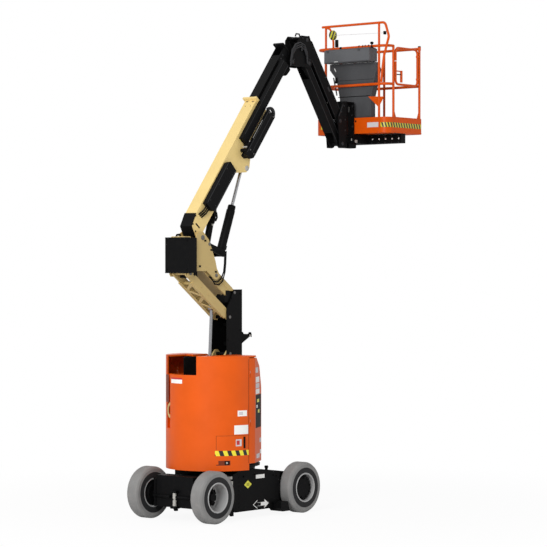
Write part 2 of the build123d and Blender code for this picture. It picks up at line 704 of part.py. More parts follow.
def rail(points, corner_radius, radius=rail_radius):
    """A bent round tube through corner points."""
    with BuildLine() as path:
        FilletPolyline(*points, radius=corner_radius)
    start = path.line @ 0
    with BuildSketch(Plane(origin=start, z_dir=path.line % 0)) as section:
        Circle(radius)
    sweep(section.sketch, path=path.line)


far_post_y = 433
near_post_y = -460
posts = [(rail_x[0], far_post_y), (rail_x[0], near_post_y), (gate_x[0] - 48, -rail_y), (rail_x[1], -rail_y),
         (rail_x[1], 0), (rail_x[1], 500), (rail_x[0] + 190, rail_y), (rail_x[1] - 190, rail_y)]
front_gusset = [(-282, 5321), (-542, 5309), (-453, 5174)]
with BuildPart() as platform_rails:
    for z in (top_rail_z, mid_rail_z):
        rail([(gate_x[0] - 48, -rail_y, z), (rail_x[0], -rail_y, z), (rail_x[0], rail_y, z),
              (rail_x[1], rail_y, z), (rail_x[1], 6 - rail_y, z)], corner)
    for x, y in posts:
        with Locations((x, y, (floor_z + 20 + top_rail_z) / 2)):
            Cylinder(rail_radius - 2, top_rail_z - floor_z - 20)
    with Locations((rail_x[1], -rail_y, top_rail_z)):
        Cylinder(21, 46)
    with BuildSketch(Plane.YZ.offset(rail_x[0] - 4)) as gusset:
        with BuildLine():
            Polyline(*front_gusset, close=True)
        make_face()
    extrude(gusset.sketch, amount=8)
    for z in (mid_rail_z + 90, top_rail_z - 110):
        with Locations((gate_x[1], -rail_y, z)):
            Cylinder(20, 24)
        with Locations((gate_x[1] + 24, -rail_y, z)):
            Box(36, 16, 24)
        with Locations((gate_x[1], -rail_y, z)):
            Cylinder(15 + running_clearance, 30, mode=Mode.SUBTRACT)
finish(platform_rails, "platform_rails")

hoop_side = [(493, guard_z), (-560, guard_z), (-622, guard_z - 187), (-542, guard_z - 438), (-508, guard_z - 665),
             (-498, mid_rail_z + rail_radius + 2)]
with BuildPart() as guard_hoop:
    rail([(rail_x[0], y, z) for y, z in hoop_side], 60, radius=16)
    for y in (far_post_y, near_post_y):
        with Locations((rail_x[0], y, (top_rail_z + rail_radius + guard_z) / 2)):
            Cylinder(15, guard_z - top_rail_z - rail_radius)
finish(guard_hoop, "guard_hoop")

with BuildPart() as gate:
    rail([(gate_x[0], -rail_y, mid_rail_z + 300), (gate_x[0], -rail_y, mid_rail_z), (gate_x[1], -rail_y, mid_rail_z),
          (gate_x[1], -rail_y, top_rail_z - 20), (gate_x[0], -rail_y, top_rail_z - 20),
          (gate_x[0], -rail_y, mid_rail_z + 310)], 60, radius=15)
finish(gate, "gate")

console_front = rail_x[0] + rail_radius + 7
console_side = [(386, 5776), (-368, 5776), (-410, 5680), (-334, 5388), (-310, 5310), (-310, 5052), (216, 5052),
                (216, 5310), (273, 5573), (386, 5700)]
with BuildPart() as control_console:
    with BuildSketch(Plane.YZ.offset(console_front)) as face:
        with BuildLine():
            Polyline(*console_side, close=True)
        make_face()
    extrude(face.sketch, amount=88)
finish(control_console, "control_console")

lid_x = (rail_x[0] - 97, rail_x[0] + 74)
lid_y = (-371, 386)
lid_z = (5782, 5950)
with BuildPart() as console_lid:
    with Locations((sum(lid_x) / 2, sum(lid_y) / 2, sum(lid_z) / 2)):
        Box(lid_x[1] - lid_x[0], lid_y[1] - lid_y[0], lid_z[1] - lid_z[0])
finish(console_lid, "console_lid")
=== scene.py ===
import bpy
from math import cos, sin, pi, radians
from mathutils import Matrix, Vector


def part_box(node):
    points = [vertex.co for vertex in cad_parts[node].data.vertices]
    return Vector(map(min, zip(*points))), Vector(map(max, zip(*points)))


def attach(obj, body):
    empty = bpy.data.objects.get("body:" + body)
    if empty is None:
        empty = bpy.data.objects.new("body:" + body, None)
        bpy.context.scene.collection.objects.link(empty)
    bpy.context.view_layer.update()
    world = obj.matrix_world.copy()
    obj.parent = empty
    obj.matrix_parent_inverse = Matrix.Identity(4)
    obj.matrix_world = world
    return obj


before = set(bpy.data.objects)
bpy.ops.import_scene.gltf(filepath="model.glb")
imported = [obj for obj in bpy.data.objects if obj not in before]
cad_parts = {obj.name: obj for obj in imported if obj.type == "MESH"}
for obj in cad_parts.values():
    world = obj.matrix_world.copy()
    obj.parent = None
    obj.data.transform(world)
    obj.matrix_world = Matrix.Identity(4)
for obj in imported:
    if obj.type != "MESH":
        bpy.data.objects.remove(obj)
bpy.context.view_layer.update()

# ---- studio ----
# A pale floor under a white room, with one large soft lamp ahead and to the left of the machine
# and a weaker one behind, so that the painted steel reads about as its own colour.
chassis_middle = (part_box("tyre_steer_left")[0].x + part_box("tyre_drive_left")[1].x) / 2
eye = Vector((chassis_middle - 21.046, -18.483, 3.154))
heading = radians(48.711)
pan = radians(1.224)
dip = radians(-0.32)
forward = Vector((sin(heading), cos(heading), 0))
rightward = Vector((cos(heading), -sin(heading), 0))
ahead = forward * cos(pan) + rightward * sin(pan)
sight = Vector((ahead.x * cos(dip), ahead.y * cos(dip), sin(dip)))


def stood(name, data, place, looking):
    """Put a camera or a lamp at its place, looking along a direction."""
    thing = bpy.data.objects.new(name, data)
    bpy.context.scene.collection.objects.link(thing)
    thing.location = place
    thing.rotation_mode = "QUATERNION"
    thing.rotation_quaternion = looking.to_track_quat("-Z", "Y")
    return thing


def node(tree, kind, inputs=(), **settings):
    """A shader node; each of its inputs takes a value or the output of another node."""
    made = tree.nodes.new("ShaderNode" + kind)
    for name, value in settings.items():
        setattr(made, name, value)
    for socket, value in dict(inputs).items():
        if isinstance(value, bpy.types.NodeSocket):
            tree.links.new(value, made.inputs[socket])
        else:
            made.inputs[socket].default_value = value
    return made


camera_data = bpy.data.cameras.new("camera")
camera_data.lens = 148.54
camera_data.sensor_width = 36
camera_data.clip_end = 300
bpy.context.scene.camera = stood("camera", camera_data, eye, sight)
bpy.context.scene.view_settings.view_transform = "Standard"

# The room gives less light than it shows, so that the background stays white.
world = bpy.data.worlds.new("white room")
bpy.context.scene.world = world
world.use_nodes = True
room = world.node_tree
room.nodes.clear()
white = (1, 1, 1, 1)
room_light = node(room, "Background", {"Color": white, "Strength": 0.5})
room_seen = node(room, "Background", {"Color": white, "Strength": 1.0})
ray = node(room, "LightPath").outputs
mirrored = node(room, "Math", {0: ray["Is Camera Ray"], 1: ray["Is Glossy Ray"]}, operation="MAXIMUM")
direct = node(room, "Math", {0: mirrored.outputs[0], 1: ray["Is Transmission Ray"]}, operation="MAXIMUM")
room_mix = node(room, "MixShader", {0: direct.outputs[0], 1: room_light.outputs[0], 2: room_seen.outputs[0]})
node(room, "OutputWorld", {"Surface": room_mix.outputs[0]})

# The floor takes a faint shadow near the machine and fades to plain white further out.
bpy.ops.object.select_all(action="DESELECT")
bpy.ops.mesh.primitive_plane_add(size=400, location=(0, 0, -0.001))
floor = bpy.context.object
floor.name = "floor"
floor_finish = bpy.data.materials.new("pale_floor")
floor_finish.use_nodes = True
ground = floor_finish.node_tree
ground.nodes.clear()
matt = node(ground, "BsdfDiffuse", {"Color": (0.9, 0.9, 0.9, 1)})
glow = node(ground, "Emission", {"Color": white})
reach = node(ground, "VectorMath", {0: node(ground, "TexCoord").outputs["Object"]}, operation="LENGTH")
fade = node(ground, "MapRange", {"Value": reach.outputs["Value"], "From Min": 1.5, "From Max": 7,
                                 "To Min": 0.92, "To Max": 1.0}, interpolation_type="SMOOTHSTEP")
seen = node(ground, "LightPath").outputs["Is Camera Ray"]
share = node(ground, "Math", {0: seen, 1: fade.outputs["Result"]}, operation="MULTIPLY")
surface = node(ground, "MixShader", {0: share.outputs[0], 1: matt.outputs[0], 2: glow.outputs[0]})
node(ground, "OutputMaterial", {"Surface": surface.outputs[0]})
floor.data.materials.append(floor_finish)

for lamp_name, place, size, watts in (("key lamp", (-14, -5, 9), 7, 1700), ("fill lamp", (6, -15, 5), 8, 140)):
    lamp_data = bpy.data.lights.new(lamp_name, "AREA")
    lamp_data.size = size
    lamp_data.energy = watts
    stood(lamp_name, lamp_data, place, Vector((0, 0, 2.8)) - Vector(place))

# ---- chassis frame ----
# The welded steel box that carries everything, sprayed in a near-black enamel that has
# dulled with dust. Enamel, as the other painted steel, is a coat with a faint orange peel.


def enamel(name, colour, gloss=0.35, dust=(0.42, 0.38, 0.32), dusty=0.1, peel=0.04, mottle=0.06, shine=0.5):
    """A sprayed steel finish: slow colour drift, thin dust and orange peel."""
    coat = bpy.data.materials.new(name)
    coat.use_nodes = True
    tree = coat.node_tree
    place = node(tree, "TexCoord").outputs["Object"]
    drift = node(tree, "TexNoise", {"Vector": place, "Scale": 3.5, "Detail": 6})
    tone = node(tree, "ValToRGB", {"Fac": drift.outputs["Fac"]})
    for stop, position, share in ((0, 0.3, 1 - mottle), (1, 0.72, 1 + mottle)):
        tone.color_ramp.elements[stop].position = position
        tone.color_ramp.elements[stop].color = [min(1, c * share) for c in colour] + [1]
    grain = node(tree, "TexNoise", {"Vector": place, "Scale": 14, "Detail": 9, "Roughness": 0.7})
    settled = grain.outputs["Fac"]
    amount = node(tree, "MapRange", {"Value": settled, "From Min": 0.5, "From Max": 0.8, "To Max": dusty})
    mixed = {"Factor": amount.outputs["Result"], "A": tone.outputs["Color"], "B": [*dust, 1]}
    dusted = node(tree, "Mix", mixed, name="dusted", data_type="RGBA")
    sheen = node(tree, "MapRange", {"Value": settled, "To Min": gloss - 0.06, "To Max": gloss + 0.12})
    skin = node(tree, "TexNoise", {"Vector": place, "Scale": 260})
    bump = node(tree, "Bump", {"Height": skin.outputs["Fac"], "Strength": peel, "Distance": 0.002})
    shader = tree.nodes["Principled BSDF"].inputs
    shader["Specular IOR Level"].default_value = shine
    for socket, output in (("Base Color", dusted.outputs["Result"]), ("Roughness", sheen.outputs["Result"]),
                           ("Normal", bump.outputs["Normal"])):
        tree.links.new(output, shader[socket])
    return coat


def two_tone(coat, factor, **colours):
    """Mix a plain colour into an enamel's own by a factor."""
    tree = coat.node_tree
    both = node(tree, "Mix", {"Factor": factor, **colours}, data_type="RGBA")
    tree.links.new(both.outputs["Result"], tree.nodes["Principled BSDF"].inputs["Base Color"])
    return coat


def dress(finish, *names):
    """Give CAD nodes one finish."""
    for name in names:
        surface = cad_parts[name].data.materials
        surface.clear()
        surface.append(finish)


def picked(*pieces):
    """Select these pieces alone, the first of them active."""
    bpy.ops.object.select_all(action="DESELECT")
    for piece in pieces:
        piece.select_set(True)
    bpy.context.view_layer.objects.active = pieces[0]


def settle(move=True, turn=True, size=True):
    """Bake a piece's place, turn or size into its mesh."""
    bpy.ops.object.transform_apply(location=move, rotation=turn, scale=size)


def edit():
    """Open a piece's mesh with all of it selected."""
    bpy.ops.object.mode_set(mode="EDIT")
    bpy.ops.mesh.select_all(action="SELECT")


def close(outward=False):
    """Shut a piece's mesh, its faces turned outwards first where it was spun or drawn out."""
    if outward:
        bpy.ops.mesh.select_all(action="SELECT")
        bpy.ops.mesh.normals_make_consistent(inside=False)
    bpy.ops.object.mode_set(mode="OBJECT")
    return bpy.context.object


def hang(body, coat, **pieces):
    """Bake each finished piece's place into its mesh, name it, coat it and hang it on its body.

    A coat is a finish, or a finish paired with a slot name, which is not used.
    """
    finish, slot = coat if isinstance(coat, tuple) else (coat, None)
    for name, piece in pieces.items():
        picked(piece)
        settle()
        piece.name = name
        piece.data.materials.clear()
        piece.data.materials.append(finish)
        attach(piece, body)


def numbered(name, pieces):
    """Names for pieces of one kind, counted from 0."""
    return {f"{name}_{count}": piece for count, piece in enumerate(pieces)}


def face_along(piece, place, facing):
    """Put a piece made about the Z axis at its place, looking along a direction."""
    piece.location = place
    piece.rotation_mode = "QUATERNION"
    piece.rotation_quaternion = Vector(facing).to_track_quat("Z", "Y")
    return piece


def slab(low, high, edge=0.003):
    """A block between two corners with its edges rounded."""
    bpy.ops.object.select_all(action="DESELECT")
    bpy.ops.mesh.primitive_cube_add(size=1, location=[(a + b) / 2 for a, b in zip(low, high)])
    bpy.context.object.scale = [b - a for a, b in zip(low, high)]
    settle(move=False, turn=False)
    edit()
    bpy.ops.mesh.bevel(offset=edge, segments=2, affect="EDGES")
    return close()


def turned(steps, facets=32):
    """A round piece about the Z axis, drawn out of a disc by its radius and height at each step."""
    bpy.ops.object.select_all(action="DESELECT")
    bpy.ops.mesh.primitive_circle_add(vertices=facets, radius=steps[0][0], fill_type="NGON",
                                      location=(0, 0, steps[0][1]))
    settle(turn=False, size=False)
    edit()
    for (radius, height), (wider, higher) in zip(steps, steps[1:]):
        bpy.ops.mesh.extrude_region_move(TRANSFORM_OT_translate={"value": (0, 0, higher - height)})
        bpy.ops.transform.resize(value=(wider / radius, wider / radius, 1))
    piece = close(outward=True)
    bpy.ops.object.shade_smooth_by_angle(angle=radians(32))
    return piece


def stud(radius, height, rim, top, facets=28):
    """A low drum with its edge turned in."""
    return turned([(radius, 0), (radius, height), (rim, top)], facets)


def joined(pieces):
    """Several pieces made one, each still where it stands."""
    picked(*pieces)
    bpy.ops.object.join()
    return bpy.context.object


def gathered(pieces):
    """Several pieces made one, with its place baked in."""
    piece = joined(pieces)
    settle()
    return piece


def repeated(pattern, places):
    """Copies of a pattern, one at each place and facing, each with its own mesh, made one piece."""
    copies = []
    for place, facing in places:
        copy = pattern.copy()
        copy.data = pattern.data.copy()
        bpy.context.scene.collection.objects.link(copy)
        copies.append(face_along(copy, place, facing))
    bpy.data.objects.remove(pattern)
    return joined(copies)


def spread(pattern, points, way):
    """Copies of a pattern at points, all looking one way, made one piece."""
    return repeated(pattern, [(point, way) for point in points])


def cap_screw(radius):
    """A hexagon head on its washer."""
    bpy.ops.object.select_all(action="DESELECT")
    bpy.ops.mesh.primitive_cylinder_add(vertices=20, radius=radius * 1.25, depth=radius * 0.2)
    washer = bpy.context.object
    bpy.ops.mesh.primitive_cylinder_add(vertices=6, radius=radius, depth=radius * 0.7,
                                        location=(0, 0, radius * 0.4))
    edit()
    bpy.ops.mesh.bevel(offset=radius * 0.08, segments=1, affect="EDGES")
    head = close()
    washer.select_set(True)
    bpy.ops.object.join()
    settle(turn=False, size=False)
    return head


def rod(start, end, radius, facets=20):
    """A round bar with rounded ends between two points."""
    long = (end - start).length
    curve = [(0.38, 0.92), (0.7, 0.72), (0.92, 0.4), (1, 0)]
    steps = [(radius * across, -radius * out) for across, out in curve]
    steps += [(radius * across, long + radius * out) for across, out in reversed(curve)]
    return face_along(turned(steps, facets), start, end - start)


def piped(points, radius):
    """A bent pipe through points, as straight runs that share round ends at the bends."""
    return joined([rod(a, b, radius, 16) for a, b in zip(points, points[1:])])


def at(x, z, y=0.0):
    """A point from the middle of the chassis."""
    return Vector((chassis_middle + x, y, z))


def drawn(corners, plane_y, depth):
    """A flat plate from its outline in X and Z, drawn out of an edge point by point, towards +Y."""
    bpy.ops.object.select_all(action="DESELECT")
    bpy.ops.mesh.primitive_circle_add(vertices=len(corners), radius=1, fill_type="NGON")
    for point, (x, z) in zip(bpy.context.object.data.vertices, corners):
        point.co = at(x, z, plane_y)
    edit()
    bpy.ops.mesh.extrude_region_move(TRANSFORM_OT_translate={"value": (0, depth, 0)})
    return close(outward=True)


black_enamel = enamel("black_enamel", (0.0035, 0.0035, 0.0038), gloss=0.45, dust=(0.1, 0.09, 0.075),
                      dusty=0.03, shine=0.06)
zinc = enamel("zinc", (0.42, 0.41, 0.38), gloss=0.35, dusty=0.2, peel=0.1)
white_vinyl = enamel("white_vinyl", (0.86, 0.86, 0.84), gloss=0.3, dusty=0.05, peel=0.01, mottle=0.02)
yellow_vinyl = enamel("yellow_vinyl", (0.75, 0.72, 0.06), gloss=0.3, dusty=0.08, peel=0.01)
black_paint = (black_enamel, "black_paint")
dress(black_enamel, "chassis_frame")
side_face = -0.48
to_right, to_tail, upward = (0, -1, 0), (-1, 0, 0), (0, 0, 1)
sides = ((-1, "right"), (1, "left"))


def sticker(outline, x, z, long, high, thick):
    """Thin vinyl on the frame's right side, in an outline stretched about its own origin."""
    return drawn([(x + long * a, z + high * b) for a, b in outline], side_face - thick, thick)


# A caution sign with three bars, a blank plate and two drive arrows: a black one outlined in
# white that points back, and a white one that points ahead.
diamond = ((-0.079, 0), (0, -0.056), (0.079, 0), (0, 0.056))
arrow = ((0, 0), (0.084, 0.054), (0.076, 0.022), (0.15, 0.022), (0.15, -0.022), (0.076, -0.022),
         (0.084, -0.054))
sign_x, sign_z, arrow_z = -0.128, 0.42, 0.161
bars = [slab(at(sign_x + x - 0.004, sign_z - 0.02, side_face - 0.0022),
             at(sign_x + x + 0.004, sign_z + 0.02, side_face - 0.0014), 0.0003) for x in (-0.018, 0, 0.018)]
hang("chassis", black_enamel, caution_edge=sticker(diamond, sign_x, sign_z, 1, 1, 0.001),
     arrow_back_face=sticker(arrow, -0.02, arrow_z, 0.9, 0.86, 0.0018), **numbered("caution_bar", bars))
hang("chassis", yellow_vinyl, caution_face=sticker(diamond, sign_x, sign_z, 0.9, 0.9, 0.0016))
hang("chassis", white_vinyl, arrow_back_edge=sticker(arrow, -0.032, arrow_z, 1, 1, 0.0012),
     arrow_ahead=sticker(arrow, 0.268, arrow_z, -1, 1, 0.0012),
     chassis_label=slab(at(0.023, 0.479, side_face - 0.0015), at(0.186, 0.526, side_face), 0.0006))

# Valve blocks and their fittings in zinc, on the frame's narrow end behind the steered wheel.
fittings = ((0.455, -0.46), (0.42, -0.435), (0.34, -0.465), (0.27, -0.45), (0.24, -0.45), (0.518, -0.44))
hang("chassis", zinc, valve_top=slab(at(-0.425, 0.5, -0.47), at(-0.4, 0.535, -0.42), 0.004),
     valve_block=slab(at(-0.43, 0.395, -0.478), at(-0.4, 0.478, -0.415), 0.004),
     valve_spool=slab(at(-0.425, 0.31, -0.478), at(-0.4, 0.372, -0.44), 0.004),
     valve_foot=slab(at(-0.42, 0.215, -0.475), at(-0.4, 0.3, -0.43), 0.004),
     valve_fittings=spread(cap_screw(0.011), [at(-0.43, z, y) for z, y in fittings], to_tail))
seam = [at(-0.29, 0.15 + 0.052 * k, side_face - 0.001) for k in range(8)]
lugs = [(at(x, z, side * 0.4805), (0, side, 0)) for side, _ in sides for x, z in (
    (0.42, 0.49), (0.36, 0.5), (-0.2, 0.52), (0.0, 0.53))]
hang("chassis", black_paint, chassis_rivets=spread(cap_screw(0.006), seam, to_right),
     chassis_screws=repeated(cap_screw(0.012), lugs))
knob = turned([(0.018, 0), (0.018, 0.02), (0.024, 0.026), (0.026, 0.042), (0.018, 0.052)])
hang("chassis", black_enamel, chassis_knob=face_along(knob, at(0.293, 0.567, -0.42), upward))

# ---- steering axle and knuckles ----
# Cast and welded steel under the narrow end, painted with the frame, with the bright
# rod of the steering cylinder's upright pin in its yoke on the outer end.
dress(black_enamel, "steer_axle", "steer_knuckle_left", "steer_knuckle_right")
pin = turned([(0.023, 0.192), (0.023, 0.262), (0.014, 0.266), (0.014, 0.278), (0.023, 0.282), (0.023, 0.35)])
tie_rod = turned([(0.016, -0.12), (0.016, 0.06), (0.011, 0.07), (0.011, 0.16)], 20)
ends = [(at(-0.955, 0.3, side * 0.17), (0, side, 0)) for side, _ in sides]
hang("chassis", zinc, axle_pin=face_along(pin, at(-0.952, 0, -0.022), upward))
hang("chassis", black_paint, axle_yoke_low=slab(at(-0.987, 0.16, -0.07), at(-0.902, 0.19, 0.026), 0.008),
     axle_yoke_high=slab(at(-0.987, 0.352, -0.07), at(-0.902, 0.38, 0.026), 0.008),
     steering_cylinder=repeated(tie_rod, ends))

# ---- wheels ----
# Solid grey rubber pressed over a black base band, on steel rims that are sprayed silver.
# The steered rims are deep dishes with their nuts on a black hub; the drive rims carry a black disc.
wheels = ("steer_left", "steer_right", "drive_left", "drive_right")
tyre_radius = 0.3175


def solid_tyre(wheel, middle):
    """Grey rubber with its black base band inside, by distance from this wheel's axis."""
    rubber = enamel(f"rubber_{wheel}", (0.225, 0.223, 0.22), gloss=0.8, dust=(0.34, 0.33, 0.31), dusty=0.35,
                    peel=0.3, mottle=0.1, shine=0.3)
    tree = rubber.node_tree
    place = tree.nodes["Texture Coordinate"].outputs["Object"]
    centred = node(tree, "VectorMath", {0: place, 1: (middle.x, 0, middle.z)}, operation="SUBTRACT")
    across = node(tree, "VectorMath", {0: centred.outputs[0], 1: (1, 0, 1)}, operation="MULTIPLY")
    reach = node(tree, "VectorMath", {0: across.outputs[0]}, operation="LENGTH")
    band = node(tree, "MapRange", {"Value": reach.outputs["Value"], "From Min": 0.2475, "From Max": 0.2505})
    return two_tone(rubber, band.outputs["Result"], A=(0.014, 0.014, 0.015, 1),
                    B=tree.nodes["dusted"].outputs["Result"])


rim_silver = enamel("rim_silver", (0.36, 0.36, 0.36), gloss=0.32, dust=(0.25, 0.23, 0.2), dusty=0.3)
for wheel in wheels:
    dress(rim_silver, f"rim_{wheel}")
    dress(black_enamel, f"hub_{wheel}")
    low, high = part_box(f"tyre_{wheel}")
    middle = (low + high) / 2
    dress(solid_tyre(wheel, middle), f"tyre_{wheel}")
    axle = Vector((middle.x, middle.y, tyre_radius))
    out = Vector((0, 1 if axle.y > 0 else -1, 0))
    body = f"wheel_{wheel}"
    steered = wheel.startswith("steer")
    bpy.ops.object.select_all(action="DESELECT")
    bpy.ops.mesh.primitive_torus_add(major_radius=0.177, minor_radius=0.008, major_segments=64,
                                     minor_segments=10, location=axle + out * 0.087, rotation=(pi / 2, 0, 0))
    bpy.ops.object.shade_smooth()
    hang(body, (rim_silver, "rim_silver"), **{f"rim_lip_{wheel}": bpy.context.object})
    ring, depth = (0.118, -0.058) if steered else (0.12, 0.0625)
    turns = [radians(40 * k + 12) for k in range(9)]
    nuts = [axle + out * depth + ring * Vector((cos(turn), 0, sin(turn))) for turn in turns]
    hang(body, rim_silver if steered else black_enamel,
         **{f"wheel_nuts_{wheel}": spread(cap_screw(0.0105), nuts, out)})
    if steered:
        dish = turned([(0.134, 0), (0.134, 0.003), (0.13, 0.006), (0.088, 0.012), (0.062, 0.016),
                       (0.056, 0.03), (0.052, 0.05), (0.034, 0.056), (0.03, 0.06)], 40)
        hang(body, black_paint, **{f"hub_cover_{wheel}": face_along(dish, axle - out * 0.06, out)})
    back = turned([(0.16, 0), (0.16, 0.006), (0.11, 0.012), (0.1, 0.02)], 40)
    hang(body, black_paint, **{f"drum_{wheel}": face_along(back, axle - out * 0.068, -out)})

# ---- turntable ----
# The slewing ring and the round steel deck that carries the tower's foot plates, with
# its ring of hexagon screws, and black sheets on the bay's inner walls that are painted shade
# for the dark inside of the hood and the black tower seen beyond.
dress(black_enamel, "swing_bearing", "turntable_base")
swing = at(-0.2, 0)


def round_swing(bearing, z, radius):
    """A point round the slewing axis, and the way out from the axis there."""
    outward = Vector((cos(radians(bearing)), sin(radians(bearing)), 0))
    return swing + outward * radius + Vector((0, 0, z)), outward


ring = [round_swing(15 * k, 0.668, 0.48)[0] for k in range(24)]
hang("turntable", zinc, deck_screws=spread(cap_screw(0.012), ring, upward))
# The bay's black sheets are painted shade: they darken the orange inner walls where the interior lies in
# shadow.
hang("turntable", black_paint, bay_liner_right=slab(at(-0.53, 0.67, -0.219), at(0.07, 1.975, -0.205), 0.004),
     bay_liner_left=slab(at(-0.53, 0.67, 0.205), at(0.07, 1.975, 0.219), 0.004))

# ---- hood ----
# Two moulded halves in orange gelcoat with doors hinged at their middles, a notch and a
# groove at the tail, blank plates in place of printed ones, a striped warning band, and dark
# plates of painted shade in the lifting pocket and the tail slot.
orange_coat = enamel("orange_coat", (0.69, 0.092, 0.0025), gloss=0.34, dust=(0.5, 0.17, 0.04), dusty=0.06,
                     mottle=0.05, shine=0.22)
dress(orange_coat, "tail_cowl", "side_door_left", "side_door_right")
hood_radius = 0.6


def wrapped(start, end, low, high, thick=0.0008, centre=swing, radius=hood_radius, steps=None):
    """An upright plate round an axis between two bearings in degrees, spun out of its first edge."""
    bpy.ops.object.select_all(action="DESELECT")
    bpy.ops.mesh.primitive_plane_add(size=1, location=(0, 0, 0), rotation=(pi / 2, 0, 0))
    piece = bpy.context.object
    piece.scale = (thick, high - low, 1)
    settle(move=False)
    first = radians(start)
    piece.rotation_euler = (0, 0, first)
    outward = Vector((cos(first), sin(first), 0))
    piece.location = centre + outward * (radius + thick / 2) + Vector((0, 0, (low + high) / 2))
    settle(size=False)
    edit()
    bpy.ops.mesh.spin(steps=steps or max(3, int(abs(end - start) / 2)), angle=radians(start - end),
                      center=centre, axis=upward)
    return close(outward=True)


def striped(name, pale, dark, pitch, slant, radius=0.0):
    """Slanting bars along X and Y, or round the hood where a radius is given."""
    coat = enamel(name, pale, gloss=0.32, dusty=0.06, peel=0.01)
    tree = coat.node_tree

    def worked(operation, *values):
        return node(tree, "Math", dict(enumerate(values)), operation=operation).outputs[0]

    place = node(tree, "SeparateXYZ", {0: tree.nodes["Texture Coordinate"].outputs["Object"]}).outputs
    if radius:
        bearing = worked("ARCTAN2", place["Y"], worked("SUBTRACT", place["X"], swing.x))
        run = worked("MULTIPLY", bearing, radius)
    else:
        run = worked("SUBTRACT", place["X"], place["Y"])
    turns = worked("DIVIDE", worked("MULTIPLY_ADD", place["Z"], slant, run), pitch)
    bar = worked("GREATER_THAN", worked("FRACT", turns), 0.5)
    return two_tone(coat, bar, A=tree.nodes["dusted"].outputs["Result"], B=[*dark, 1])


red_vinyl = enamel("red_vinyl", (0.5, 0.02, 0.02), gloss=0.3, dusty=0.05, peel=0.01)
pale_vinyl = enamel("pale_vinyl", (0.6, 0.56, 0.58), gloss=0.35, dusty=0.08, peel=0.01)
hood_stripes = striped("hood_stripes", (0.82, 0.72, 0.03), (0.006, 0.006, 0.006), 0.105, 0.35, hood_radius)
shut_line = enamel("shut_line", (0.12, 0.022, 0.004), gloss=0.7, dusty=0.1, shine=0.2)
# A dark orange-brown that is painted shade, for recesses in the hood's shell that fall in shadow.
recess_painted_shade = enamel("recess_painted_shade", (0.16, 0.022, 0.002), gloss=0.5, dusty=0.1, shine=0.3)
for plate, start, end, low, high, thick, coat in (  # bearings in degrees, heights, thickness
        ("tail_plate", 160, 180.5, 1.664, 1.712, 0.0008, white_vinyl),
        ("tail_plate_head", 160, 180.5, 1.712, 1.732, 0.0008, red_vinyl),
        ("rear_plate_high", -110.6, -97.5, 1.27, 1.34, 0.0008, white_vinyl),
        ("rear_plate_mark", -109, -103.5, 1.285, 1.325, 0.0012, pale_vinyl),
        ("rear_plate_wide", -115, -95.6, 1.052, 1.162, 0.0008, white_vinyl),
        ("rear_plate_small", -113, -105.3, 0.908, 0.992, 0.0008, pale_vinyl),
        ("rear_plate_spot", -112, -108, 0.925, 0.978, 0.0012, red_vinyl),
        ("access_panel_line", -136.5, -94.9, 1.036, 1.0395, 0.0005, shut_line),
        ("access_panel_edge", -136.7, -136.3, 0.872, 1.038, 0.0005, shut_line),
        ("warning_band", -138, -94.9, 0.795, 0.858, 0.0008, hood_stripes),
        ("panel_latch", -102.6, -100.7, 0.882, 1.02, 0.012, black_paint),
        # The lifting pocket's lip, scoop and black mouth are painted shade: dark plates where the moulded
        # recess is in shadow.
        ("pocket_low_lip", -136.5, -119.9, 0.68, 0.692, 0.0006, recess_painted_shade),
        ("pocket_scoop", -134, -119.9, 0.692, 0.738, 0.0006, recess_painted_shade),
        ("pocket_mouth_shade", -126.8, -120.8, 0.688, 0.733, 0.0012, black_paint),
        # The tail slot is painted shade: a dark plate for the groove's wall in shadow.
        ("tail_slot", 139, 152.5, 1.425, 1.762, 0.0006, recess_painted_shade),
        ("cowl_edge_line", -95.3, -94.8, 0.7, 1.96, 0.0005, shut_line)):
    hang("turntable", coat, **{plate: wrapped(start, end, low, high, thick)})

# Steel pin across the mouth of the lifting pocket, the moulded scoop low on the cowl, whose dark plates are
# painted shade.
pin = stud(0.012, 0.006, 0.008, 0.008, 20)
hang("turntable", zinc, pocket_pin=face_along(pin, *round_swing(-124, 0.71, hood_radius)))

# The flat flank of the right-hand door, with its blank plates and the black control panel.
flank_start = at(-0.115, 0, -0.589)
flank_run = Vector((0.335, 0.184, 0)).normalized()
flank_out = Vector((flank_run.y, -flank_run.x, 0))
for plate, start, end, low, high, thick, coat in (  # from and to along the flank, heights, thickness
        ("door_plate_1", 0.02, 0.17, 1.785, 1.85, 0.001, pale_vinyl),
        ("door_plate_2", 0.03, 0.24, 1.665, 1.735, 0.001, white_vinyl),
        ("door_plate_3", 0.03, 0.24, 1.595, 1.655, 0.001, pale_vinyl),
        ("door_plate_4", 0.03, 0.25, 1.525, 1.585, 0.001, white_vinyl),
        ("door_panel", 0.025, 0.34, 1.11, 1.515, 0.0012, black_enamel),
        ("door_panel_bar_1", 0.1, 0.22, 1.42, 1.46, 0.0024, yellow_vinyl),
        ("door_panel_bar_2", 0.06, 0.13, 1.355, 1.39, 0.0024, white_vinyl),
        ("door_panel_bar_3", 0.15, 0.24, 1.29, 1.33, 0.0024, yellow_vinyl),
        ("door_plate_low_1", 0.255, 0.345, 0.92, 0.975, 0.001, pale_vinyl),
        ("door_plate_low_2", 0.07, 0.26, 0.735, 0.79, 0.001, pale_vinyl),
        ("door_plate_low_3", 0.28, 0.35, 0.78, 0.83, 0.001, white_vinyl)):
    piece = slab((start, 0, low), (end, thick, high), 0.0004)
    settle()
    piece.rotation_euler = (0, 0, flank_run.to_track_quat("X", "Z").to_euler().z)
    piece.location = flank_start + flank_out * thick
    hang("door_right", coat, **{plate: piece})

